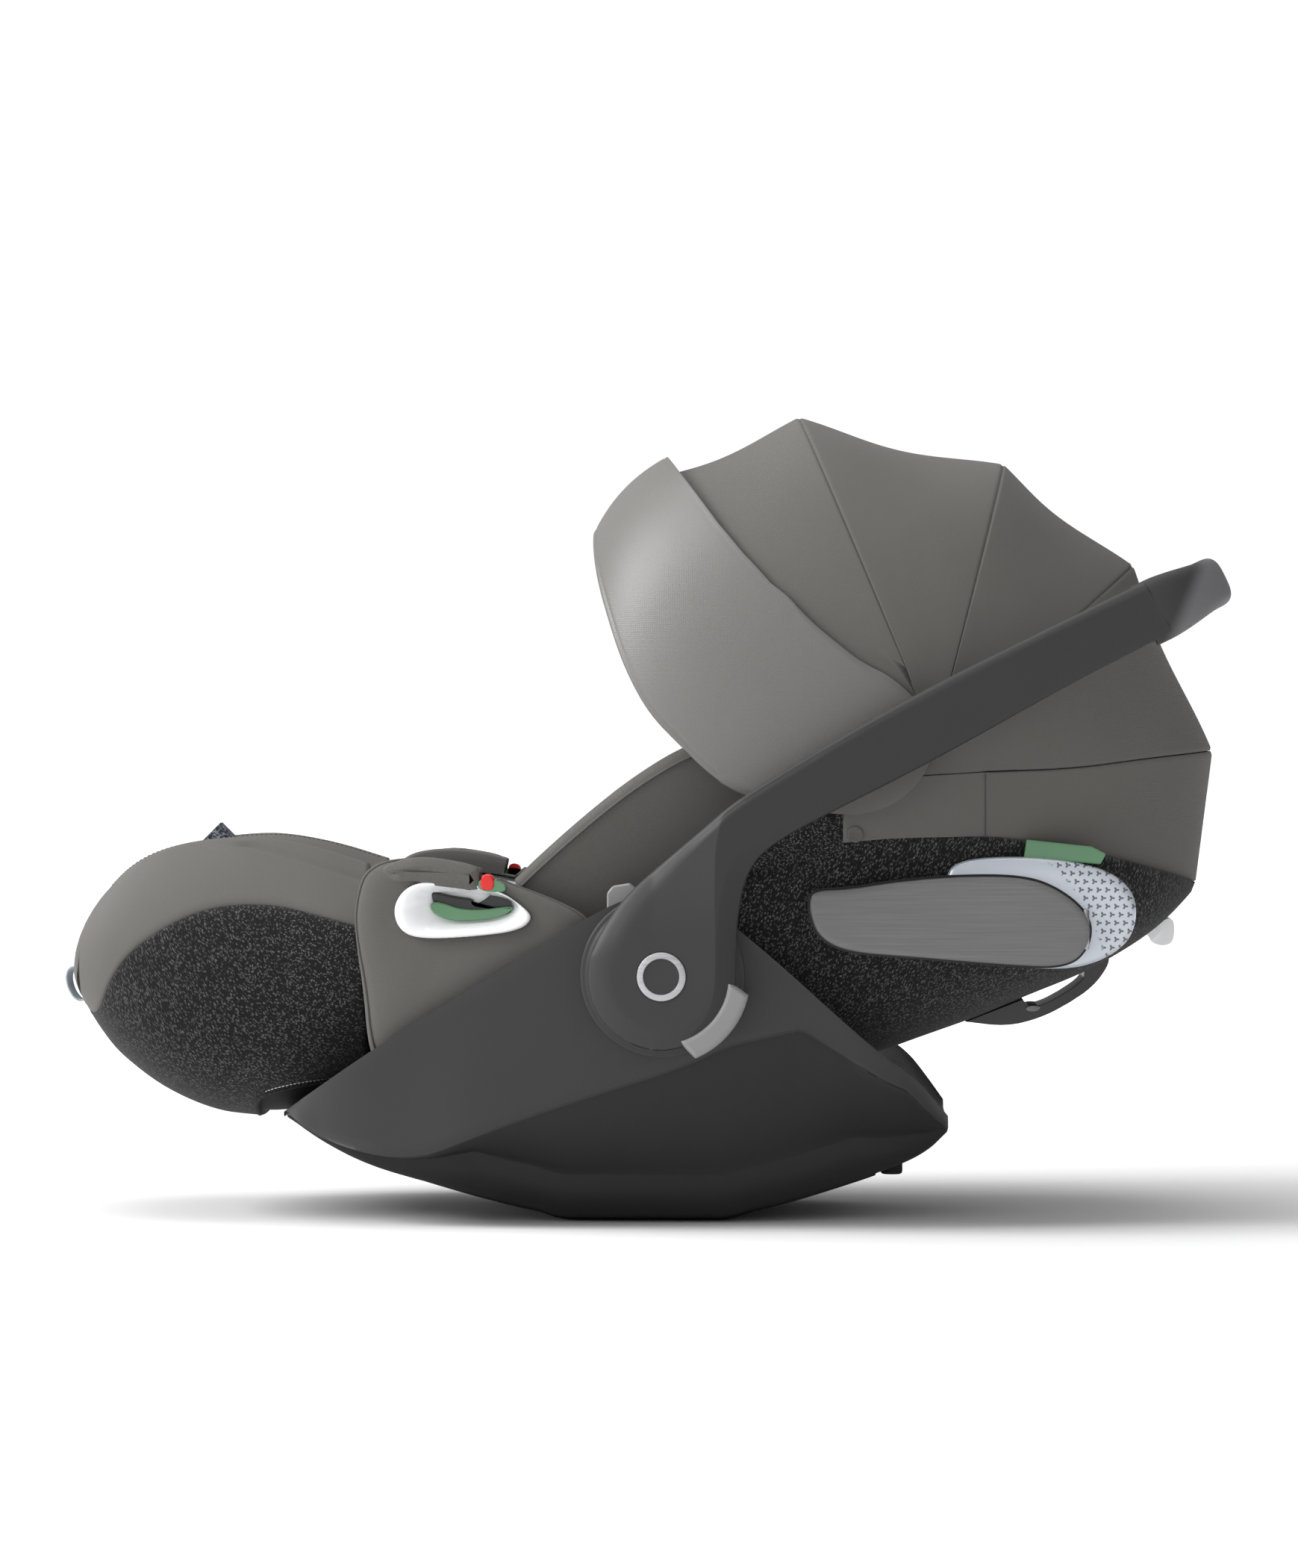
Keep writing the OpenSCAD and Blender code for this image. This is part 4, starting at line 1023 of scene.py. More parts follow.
def build_side(s, tag):
    m = 360
    c = (-122, 227)
    outer = ray_ring(cover_edge, c, m)
    hole = ray_ring(guide_edge, c, m)
    hole = c + (hole - c) * 0.93
    # notch in the top edge, between the lid and the rest of the cover, where the latch shows
    theta = np.degrees(np.linspace(0, 2 * math.pi, m, endpoint=False))
    cutout = (smooth_step((theta - 44) / 2.5) * smooth_step((73 - theta) / 2.5))[:, None]
    outer = outer + ((hole + (hole - c) * 0.12) - outer) * cutout

    def loops(outside, inside, levels):
        """Rings between two outlines: each level is (share of the way in, distance from the middle plane)."""
        made = []
        for t, y in levels:
            p = outside + (inside - outside) * t
            made.append(np.column_stack([p[:, 0], np.full(m, s * y), p[:, 1]]))
        return made

    rings = loops(outer, hole, [
        (0.02, 153.5), (-0.004, 155.5), (-0.01, 158.5), (0.0, 162), (0.03, 165.2), (0.08, 167.2), (0.16, 168.4),
        (0.3, 169.4), (0.45, 169.8), (0.6, 169.6), (0.75, 169.0), (0.88, 168.2), (0.97, 167), (1.0, 165),
        (1.0, 156), (0.97, 153.2), (0.5, 152.6), (0.1, 152.9)])
    pad_out(tube("side_pad_" + tag, rings, True, 70, True), 0.7, GREY, "root", "side_cover_" + tag)
    seam = loops(outer, hole, [(0.035, 166.0)])[0]
    place(cord_along("side_piping_" + tag, seam, 0.9, 8, True), GREY_PAD, "root")

    slot = ray_ring(slot_edge, c, m)
    rings = loops(ray_ring(guide_edge, c, m), slot, [
        (0.04, 166.5), (0.0, 168.8), (0.0, 170.6), (0.02, 171.8), (0.07, 172.6), (0.16, 172.9), (0.28, 172.2),
        (0.44, 169.8), (0.6, 166.4), (0.78, 162.8), (0.92, 160.4), (1.0, 159.4), (1.0, 157.2), (0.9, 156.8),
        (0.4, 160), (0.15, 164)])
    place(tube("belt_bezel_" + tag, rings, True, 70, True), WHITE, "root", "belt_guide_" + tag)
    well = outline_solid("belt_well_" + tag, c + (slot - c) * 1.12, s, [(0, 153.6), (0, 154.6), (0.6, 155)])
    place(well, WHITE, "root")
    for name, mat, node, times, n, points, levels, sharp in SLOT_PARTS:
        part = outline_solid(name + tag, even(cut_ring(points, times), n, True), s, levels, sharp)
        place(part, mat, "root", *(once(s, node) if node else []))
    # the lid: its top follows the cover's edge and its end hangs over the guide
    flap = even(cut_ring([[-163, 247], [-176, 244], [-187, 256], [-160, 264.5], [-128, 260], [-117, 256.5],
                          [-114.6, 254], [-114.4, 243], [-116, 239.5], [-134, 241.5], [-150, 243.5]], 2), 170, True)
    near = smooth_step((flap[:, 0] + 186) / 26)
    levels = [(0.6, 161), (0, 162.4)] + [(inset, y + rise * near) for inset, y, rise in (
        (0, 168.2, 3.0), (0.8, 169.2, 3.2), (2.4, 169.8, 3.8), (5.0, 170.2, 4.2), (6.6, 170.4, 4.4))]
    pad_out(outline_solid("belt_flap_" + tag, flap, s, levels, 60), 0.6, GREY, "root")


for s, tag in SIDES:
    build_side(s, tag)


# ---- leg rest

leg_top = cut([[-421, 180], [-414, 209], [-402, 231], [-387, 246], [-368, 259], [-347, 268], [-326, 273],
               [-300, 276], [-275, 276], [-237, 269], [-199, 257]])
leg_low = cut([[-421, 172], [-408, 146], [-391, 121], [-380, 110], [-358, 93], [-335, 81], [-312, 73],
               [-293, 71], [-276, 69.5], [-258, 71], [-236, 80], [-199, 98]])
leg_fold = cut([[-282, 74], [-283, 82], [-279, 88.5], [-270, 93], [-257, 96.5], [-241, 99.5], [-199, 104]], 3)
leg_shoulder = cut([[-312, 276], [-291, 272], [-256, 263.5], [-222, 252.5], [-199, 245]])
leg_w = cut([[-421, 34], [-414, 84], [-402, 103], [-387, 117], [-358, 131], [-315, 140], [-260, 144], [-199, 146]])
leg_seam = cut([[-421, 160], [-408, 150], [-399, 147], [-393, 152], [-387, 165], [-380, 179], [-370, 192],
                [-354, 205], [-332, 218], [-310, 226], [-287, 229], [-260, 228], [-236, 222], [-199, 212]])
LEG_N, CREST = 2.5, 0.16        # squareness of the leg rest's sections, and how far its side crests rise


def leg_point(x, a, d):
    """Points of the leg rest's section at x, for an array of angles in degrees, drawn in by d."""
    a = np.radians(a)
    zt, zb = at(x, leg_top), at(x, leg_low)
    h = (zt - zb) / 2
    hh = max(h - d, h * 0.55)
    w = at(x, leg_w)
    ww = np.maximum(w - d, w * 0.8)
    s = np.sin(a)
    y = ww * signed(np.cos(a), 2 / LEG_N)
    fade = min(1, max(0, (x + 395) / 90))
    bowl = 58 * fade * power(1 - (y / 92) ** 2, 1.5)
    lift = 1 + CREST * fade * power(s, 0.5)
    mid = (zt + zb) / 2
    z = mid + hh * lift * signed(s, 2 / LEG_N) - np.where(s > 0, bowl, 0)
    # the crests reach the outline
    t = np.radians(np.linspace(2, 90, 120))
    yt = ww * power(np.cos(t), 2 / LEG_N)
    top = (hh * (1 + CREST * fade * power(np.sin(t), 0.5)) * power(np.sin(t), 2 / LEG_N)
           - 58 * fade * power(1 - (yt / 92) ** 2, 1.5)).max()
    z = np.where(z > mid, mid + (z - mid) * (hh - d * 0.2) / top, z)
    return np.stack([np.full(len(a), x), y, z], 1)


def seam_angle(x):
    """Angle at which the two covers meet on the near side at x."""
    a = np.linspace(-88, 52, 400)
    z = np.maximum.accumulate(leg_point(x, a, 0)[:, 2])
    return float(np.interp(at(x, leg_seam), z, a))


def fold_z(x):
    """Height of the sling's hem at x, below which the leg rest is hollow."""
    return float(np.interp(x, leg_fold[8:, 0], leg_fold[8:, 1])) if x > -283 else -50.0


def leg_grid(upper, d, xs, m, groove):
    """Rows of the upper or the lower cover, drawn in by d, with a groove along its seam."""
    rows = []
    for x in xs:
        s = seam_angle(x)
        a0, a1 = (s, 180 - s) if upper else (180 - s, 360 + s)
        row = even(leg_point(x, np.linspace(a0, a1, 700), d), m)
        run_s = run(row)
        edge = np.minimum(run_s, run_s[-1] - run_s)
        mid = np.array([x, 0, (at(x, leg_top) + at(x, leg_low)) / 2])
        deep = dip(edge, 2.6, groove)
        if upper and x > -318:
            line = at(x, leg_shoulder)
            deep = deep + dip(row[:, 2] - line, 2.6, 2.4 * smooth_step((x + 318) / 30)) * (np.abs(row[:, 1]) > 96)
        if not upper:
            inside = smooth_step((x + 284) / 5) * smooth_step((fold_z(x) - row[:, 2]) / 4)
            deep = deep + 4.5 * inside * (groove > 0)
        rows.append(row + unit(mid - row) * deep[:, None])
    return np.array(rows)


def build_legs():
    xs = np.concatenate([[-421, -420.3, -419.2, -417.6, -415.4, -412.6, -409.2, -405], np.linspace(-400, -290, 36),
                         np.linspace(-286, -276, 8), np.linspace(-273, -199, 28)])
    cover = sheet("leg_cover", leg_grid(True, 0, xs, 120, 1.5), leg_grid(True, 8, xs, 120, 0), 0.15, 70)
    pad_out(cover, 0.6, GREY, "legrest", "leg_pad")
    sling = sheet("leg_sling_knit", leg_grid(False, 0, xs, 110, 1.1), leg_grid(False, 4, xs, 110, 0), 0.2, 70)
    pad_out(sling, 0.5, KNIT_LEG, "legrest", "leg_sling")
    paint(sling, RUBBER, lambda face: face.center.x > -0.281
          and face.center.z * 1000 < fold_z(face.center.x * 1000) - 1.5)
    # turned hem round the open underside, with its light topstitch, and a sewn line along each side of the channel
    hems, topstitch, channels = [], [], []
    for side in (-1, 1):
        line = []
        for x, z in even(leg_fold, 70):
            dense = leg_point(x, np.linspace(181, 269, 500), 0)
            line.append(dense[np.argmin(np.abs(dense[:, 2] - z))] * [1, -side, 1])
        line = np.array(line)
        relax(line, 6)
        hems.append(cord_along("hem", line, 2.0, 10))
        topstitch.append(stitches("hem_stitch", line + [0, side * 1.9, 1.4], 2.9, 2.2, 0.5))
        line = []
        for x in np.linspace(-392, -203, 70):
            dense = leg_point(x, np.linspace(60, 120, 600), 0)
            line.append(dense[np.argmin(np.abs(dense[:, 1] - side * 84 * min(1, (x + 425) / 60)))] + (0, 0, 0.15))
        channels.append(stitches("channel", np.array(line), 3.6, 2.3, 0.3))
    place(join("leg_sling_hem", hems), KNIT_FLAT, "legrest")
    place(join("leg_hem_stitches", topstitch), THREAD_WHITE, "legrest")
    place(join("leg_channel_stitches", channels), THREAD_DARK, "legrest")

    # finger loop of narrow webbing
    t = np.linspace(0.12, 2 * math.pi - 0.12, 60)
    turn = math.radians(18)
    lx, lz = 6.6 * np.cos(t), 12.6 * np.sin(t)
    x = -421.5 + lx * math.cos(turn) - lz * math.sin(turn)
    z = 166.0 + lx * math.sin(turn) + lz * math.cos(turn)
    loop = ribbon("pull_loop_webbing", np.stack([x, np.zeros(60), z], 1), 14, 1.6, (0.2, 1, 0))
    place(loop, LOOP, "legrest", "pull_loop")
    # folded plain label, standing on its corner
    edge = even([[-316, 285], [-303, 272], [-316, 259], [-329, 272]], 64, True)
    levels = [(1.2, -9), (0, -8.2), (0, 8.2), (1.2, 9)]
    place(outline_solid("leg_tab", edge, 1, levels, 50), TAB, "legrest", "leg_label")


build_legs()


# ---- backrest

shell_low = cut([[20, 104], [60, 99], [100, 102], [140, 110], [174, 120], [201, 130], [238, 143], [275, 159],
                 [318, 176], [346, 192], [363, 203], [380, 217], [396, 234]])
shell_top = cut([[20, 236], [45, 252], [69, 264], [147, 274], [187, 277], [239, 277], [268, 274], [304, 268],
                 [342, 259], [369, 251], [396, 243]])


def shell_w(x):
    """Half width of the head shell at x."""
    if x < 150:
        return 176 - 2 * (150 - x) / 130
    return 176 * float(power(1 - ((x - 150) / 252) ** 3.4, 0.4))


pad_floor = cut([[-38, 166], [-20, 160], [8, 158], [42, 163], [92, 172], [150, 184], [220, 199], [290, 217],
                 [345, 236], [366, 250]], 1)
pad_rim = cut([[-88, 240], [-74, 254], [-43, 282], [-6, 312], [40, 340], [95, 348], [180, 343], [258, 323],
               [322, 292], [358, 266]], 1)


def dense_pair(a, b, m):
    """The same smooth shares along two lines of equal length."""
    t = np.linspace(0, len(a) - 1, m)
    i = np.arange(len(a))
    pair = [np.stack([np.interp(t, i, line[:, k]) for k in (0, 1)], 1) for line in (a, b)]
    for line in pair:
        relax(line, 12)
    return pair


def build_back():
    xs = np.concatenate([np.linspace(20, 330, 66), np.linspace(334, 380, 16), [383, 386, 389, 391.5, 393.5, 395, 396]])
    o, q = [], []
    for x in xs:
        w, zt, zl = shell_w(x), at(x, shell_top), at(x, shell_low)
        o.append(u_row(x, zl, x, zt, w - 14 if w > 40 else w * 0.6, w, 3.2, 110))
        q.append(u_row(x, min(zl + 5, zt - 1), x, zt, max(w - 19, w * 0.5), max(w - 5, w * 0.8), 3.2, 110))
    # end wall, from the bottom of the last section up to its top
    end = 396
    w, zt, zl = shell_w(end), at(end, shell_top), at(end, shell_low)
    for dx, up in ((0.9, 0.4), (1.4, 0.75), (1.6, 0.95)):
        row = u_row(end + dx, zl + (zt - zl) * up, end + dx, zt, w - 14, w, 3.2, 110)
        o.append(row)
        q.append(row - [2.6, 0, 0])
    place(sheet("head_shell_knit", o, q, 0.35, 70), KNIT_HEAD, "backrest",
          "head_shell")

    m = 96
    f, g = dense_pair(pad_floor, pad_rim, m)
    g = g + (0, 3.2)
    t = np.linspace(0, 1, m)
    wide = 146 * power(1 - power((t - 0.45) / 0.6, 2.6), 0.5)
    o, q = [], []
    for k in range(m):
        o.append(u_row(f[k, 0], f[k, 1] - 14, g[k, 0], g[k, 1], wide[k] - 8, wide[k], 4, 96))
        row = u_row(f[k, 0], f[k, 1], g[k, 0], g[k, 1], wide[k] - 29, wide[k] - 20, 4, 96)
        s = run(row)
        e = np.minimum(s, s[-1] - s)
        # sewn channels: one along each rolled edge, and one where the wings meet the back
        y = np.abs(row[:, 1])
        mid = np.array([row[:, 0].mean(), 0, g[k, 1]])
        push = dip(e - 26, 3.0, 2.0) + dip(y - 84, 3.4, 2.6) * (row[:, 2] < f[k, 1] + 30)
        crown = 2.2 * np.cos(np.clip(y / 84, 0, 1) * math.pi / 2) * (y < 84)
        q.append(row + unit(row - mid) * (push - crown)[:, None])
    pad_out(sheet("back_cushion", o, q, 0.25, 80), 0.7, GREY_PAD, "backrest", "back_pad")
    # piping along the outer side of the rolled edge
    o = np.array(o)
    lines = [cord_along("pipe", o[:, j] + [0, out, 3.0], 1.0, 8) for j, out in ((1, -0.5), (-2, 0.5))]
    place(join("back_piping", lines), GREY, "backrest")

    tip = cut_ring([[275, 149], [283, 147.5], [288, 151.5], [283, 152.5], [277, 152]], 2)
    tip = even(tip, 40, True)
    p = [np.column_stack([tip[:, 0], np.full(40, y), tip[:, 1]]) for y in (-36.5, -35.9, 35.9, 36.5)]
    c = np.array([281, 0, 150])
    p[0], p[3] = c + (p[0] - c) * [0.9, 1, 0.9], c + (p[3] - c) * [0.9, 1, 0.9]
    place(tube("belt_hook_tip", p), BUTTON, "backrest")


build_back()


# ---- side impact guards

housing_edge = cut_ring([[214, 252], [226, 262], [262, 264.5], [300, 262], [331, 254], [347, 240], [350, 222],
                         [344, 204], [326, 191], [300, 184], [250, 187], [226, 192], [216, 220]], 4)
plate_edge = cut_ring([[119, 232], [122, 240], [148, 241], [177, 246], [220, 250], [270, 250], [296, 240],
                       [316, 222], [316, 202], [300, 186], [248, 189], [187, 194], [146, 197], [126, 207],
                       [120, 222]], 4)


# name, material, body, node, outline, levels of (inset, distance from the middle plane). The gap is dark
GUARD_PARTS = [
    ("guard_housing_", SILVER, "backrest", "lsp_housing_", housing_edge,
     [(3.0, 170), (0.6, 173.0), (0.0, 175.0), (0.5, 177.6), (1.6, 179.4), (3.4, 180.4), (6.0, 180.9), (10.0, 181.0)]),
    ("guard_plate_", PLATE, "lsp_", "lsp_plate_", plate_edge,
     [(0.8, 181.6), (0.0, 182.3), (0.0, 187.6), (0.35, 188.7), (1.1, 189.4), (2.4, 189.8), (5.0, 190.1)]),
    ("guard_gap_", INNER, "backrest", None, plate_edge, [(-1.7, 180.6), (-1.7, 181.6), (0.5, 181.9)])]
guard_pins = []
for s, tag in SIDES:
    for name, mat, body, node, edge, levels in GUARD_PARTS:
        part = outline_solid(name + tag, even(edge, 220, True), s, levels, 60)
        place(part, mat, body + tag if body == "lsp_" else body, *([node + tag] if node else []),
              slot=None if node else "dark_plastic")
    guard_pins.append(post("pin", 313.5, s * 185.5, [(1.6, 199), (2.2, 199.8), (2.2, 226.2), (1.6, 227)], 24))
place(join("guard_hinge_pins", guard_pins), STEEL, "backrest", "lsp_pins")


# ---- headrest

def build_headrest():
    m = 60
    ks = np.linspace(0, 1, m)
    wide = 104 * power(1 - power((ks - 0.3) / 0.75, 2.6), 0.5)
    o, q = [], []
    for k, w in zip(ks, wide):
        x0, zf = 196 + 122 * k, 196.5 + 32 * k
        x1, z1 = 178 + 122 * k, 288 + 12 * k
        o.append(u_row(x0, zf + 0.5, x1, z1, w - 6, w, 3.4, 84))
        row = u_row(x0, zf + 17.5, x1, z1, w - 26, w - 18, 3.4, 84)
        y = np.abs(row[:, 1])
        s = run(row)
        e = np.minimum(s, s[-1] - s)
        low = row[:, 2] < zf + 40
        down = dip(y - 42 * (w / 104), 3.0, 2.8) * low + dip(e - 22, 2.6, 1.6)
        swell = 2.4 * np.cos(np.clip(y / 42, 0, 1) * math.pi / 2) * low * math.sin(math.pi * min(1, k * 1.1))
        row[:, 2] += swell - down
        q.append(row)
    pad_out(sheet("headrest_pad", o, q, 0.42, 80), 0.7, GREY_PAD, "head", "headrest")


build_headrest()


# ---- canopy

ARCH_N, CLOTH, CANOPY_W = 2.5, 2.0, 177.0   # the arches' squareness, the cloth's thickness and half the width
CURTAIN_R = (262, 250)                      # reach of the rear curtain's upper and lower edge from the pivot
SEAM_X = 243                                # where the rear curtain's corners are sewn
# the seams' radius and angle at the ridge, from the front rib back, with the one under the visor last
ridge = [235, 225, 238, 262, 240.5]
rib_a = [100, 61, 31, -3, 130.0]
sag = [14, 20.5, 13.5, 15.5]


def arch(a, r, w, f):
    """Points of an arch about the pivot: plane angle a, radius r, half width w, arch angle f, in degrees."""
    a, f = np.radians(a), np.radians(f)
    q = r * power(np.sin(f), 2 / ARCH_N)
    y = -w * signed(np.cos(f), 2 / ARCH_N)
    return np.stack([pivot[0] + q * np.cos(a), y, pivot[1] + q * np.sin(a)], -1)


def arch_angles(a, r, w, f0, m, fine):
    """Arch angles that spread m points evenly from f0 over to the far side."""
    f = np.linspace(f0, 180 - f0, fine)
    s = run(arch(a, r, w, f))
    return np.interp(np.linspace(0, s[-1], m), s, f)


seam_point = np.array([57.0, -4.0])     # where the hoops' seams meet, from the pivot
rear_seam = cut([[30, -30], [60, -29], [99, -26.5], [154, -25], [207, -18], [250, -13.5], [262, -12.5]], 2)


def seam_angles(k, q):
    """Angle about the pivot of seam k, at each distance q from the pivot in side view."""
    if k == 4:
        return np.full(len(q), rib_a[k])
    line = rear_seam
    if k < 3:
        a = math.radians(rib_a[k])
        top = ridge[k] * np.array([math.cos(a), math.sin(a)])
        line = (top + (seam_point - top) * np.linspace(0, 1, 400)[:, None])[::-1]
    return np.interp(q, np.hypot(line[:, 0], line[:, 1]), np.degrees(np.arctan2(line[:, 1], line[:, 0])))


def panel_grid(k0, k1, d, nt, nf, f0):
    """Rows of the panel between two seams, drawn in by d, from arch angle f0 over to the far side."""
    r0, r1, drop = ridge[k0], ridge[k1], sag[k0]
    ts = np.concatenate([[0, 0.005, 0.011, 0.02], np.linspace(0.035, 0.965, nt - 8), [0.98, 0.989, 0.995, 1]])
    fs = arch_angles(60, 235, CANOPY_W, f0, nf, 2000)
    sn = np.sin(np.radians(fs))
    low = seam_angles(k0, r0 * power(sn, 2 / ARCH_N))
    high = seam_angles(k1, r1 * power(sn, 2 / ARCH_N))
    rows = []
    for t in ts:
        a = low + (high - low) * t
        r = r0 + (r1 - r0) * t
        edge = min(t, 1 - t) * 35
        groove = 1.3 * math.exp(-(edge / 0.3) ** 2) * np.clip(sn * 4, 0, 1)
        if k0 == 3 and t < 0.5:
            groove = groove * smooth_step((r0 * power(sn, 2 / ARCH_N) - 90) / 8)
        ripple = 0.5 * np.sin(np.radians(fs) * 9 + t * 5) * math.sin(math.pi * t) * sn
        rr = r - drop * math.sin(math.pi * t) * sn ** 2 - d - groove + ripple
        flat = 0.8 * math.sin(math.pi * t) * (1 - sn ** 2)
        rows.append(arch(a, rr, CANOPY_W - d - groove * 0.7 - flat, fs))
    return np.array(rows), ts


def build_canopy():
    rows, columns = 34, 130
    for tag, k0, k1, low, high, f0 in (
            ("a", 3, 2, "backrest", "hoop_3", 2.4), ("b", 2, 1, "hoop_3", "hoop_2", 5.5),
            ("c", 1, 0, "hoop_2", "hoop_1", 5.5), ("d", 0, 4, "hoop_1", "visor", 2.4)):
        o, ts = panel_grid(k0, k1, 0, rows, columns, f0)
        obj = sheet("canopy_cloth_" + tag, o, panel_grid(k0, k1, CLOTH * 0.6, rows, columns, f0)[0], 0.2, 80)
        wear(obj, GREY)
        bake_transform(obj)
        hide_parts("canopy_panel_" + tag)

    # rear curtain, from the last rib down to the shell
    fs = np.radians(np.linspace(-90, 90, 1500))

    def edge(r):
        return np.stack([pivot[0] + r * power(np.cos(fs), 2 / ARCH_N), CANOPY_W * signed(np.sin(fs), 2 / ARCH_N)], 1)

    def curtain(d):
        front = np.array([[143, -CANOPY_W]])
        hi, lo = [even(np.vstack([front, edge(r - d), front * [1, -1]]), 240) for r in CURTAIN_R]
        rows = []
        for t in np.concatenate([np.linspace(0, 0.95, 24), [0.97, 0.982, 0.991, 1]]):
            p = lo + (hi - lo) * t
            y = p[:, 1] * (1 - d / CANOPY_W)
            zl = np.array([at(min(max(x, 20), 396), shell_top) for x in p[:, 0]]) + 0.6
            zh = pivot[1] - 0.9 + np.interp(p[:, 0] - pivot[0], rear_seam[:, 0], rear_seam[:, 1])
            gr = 1.1 * math.exp(-((1 - t) * 70 / 1.2) ** 2) * smooth_step((p[:, 0] - SEAM_X + 2) / 8)
            rows.append(np.stack([p[:, 0] - gr * (p[:, 0] - pivot[0]) / CURTAIN_R[0], y - gr * p[:, 1] / CANOPY_W,
                                  zl + (zh - zl) * t], 1))
        return np.array(rows)

    o = curtain(0)
    place(sheet("canopy_curtain", o, curtain(CLOTH * 0.7), 0.2, 80), GREY, "backrest", "rear_curtain")
    snaps = [lathe("snap", (151.5, 279.5), sd, [(5.8, 176.4), (5.8, 177.9), (5.3, 178.6), (4.4, 178.9), (3.4, 178.3),
                                                (0.5, 178.2)], 40) for sd, _ in SIDES]
    place(join("curtain_snaps", snaps), GREY_PAD, "backrest")
    seams = []
    for half in (o[:, :o.shape[1] // 2], o[:, o.shape[1] // 2:]):
        line = np.array([half[k, np.argmin(np.abs(half[k, :, 0] - SEAM_X) + 400 * (np.abs(half[k, :, 1]) < 120))]
                         for k in range(len(half) - 1)])
        line[:, 0] = SEAM_X
        seams.append(cord_along("seam", line + [0, 0.1 * np.sign(line[0, 1]), 0], 0.55, 6))
    place(join("curtain_seams", seams), THREAD_DARK, "backrest")
    # knitted cheek between the shell's rim and the canopy's pivot
    cheek = even(cut_ring([[34, 240], [52, 262], [78, 284], [104, 299], [130, 304], [156, 302], [161, 286], [161, 268],
                           [120, 262], [70, 252]], 3), 140, True)
    for sd, tag in SIDES:
        pad_out(outline_solid("shell_cheek_" + tag, cheek, sd, [
            (0.8, 171.6), (0, 172.4), (0, 174.4), (0.6, 175.4), (2.0, 175.9)], 60), 0.5, KNIT_HEAD_FLAT, "backrest")

    build_visor()


VISOR_R, VISOR_W = 245.0, CANOPY_W + 3.4    # the visor's radius and half width
REACH = 100.0                               # nearer the pivot than this, the visor is a flat lobe
visor_back = np.array([[100, 115], [121, 119.7], [150, 122.2], [178, 123.4], [220, 124], [246, 124.3]])
visor_front = cut([[92, 208], [100, 200.5], [108, 194], [124, 183.2], [147, 174], [167, 165.5], [193, 156],
                   [219, 149], [240, 143.5], [246, 142]], 2)
lobe_line = [[115, 100], [110.5, 81], [98, 60], [82, 48], [60, 46], [38, 46.5], [15, 52], [-10, 56.5], [-35, 57],
             [-60, 57], [-85, 57], [-105, 58], [-125, 65], [-140, 76], [-152, 91], [-159.5, 100]]


def visor_point(angle, q, d):
    """Point of the visor's side face at a distance q from the pivot in side view."""
    f = np.arcsin(power(np.clip(q / VISOR_R, 0, 1), ARCH_N / 2))
    a = np.radians(angle)
    return np.stack([pivot[0] + q * np.cos(a), -(VISOR_W - d) * power(np.cos(f), 2 / ARCH_N),
                     pivot[1] + q * np.sin(a)], -1)


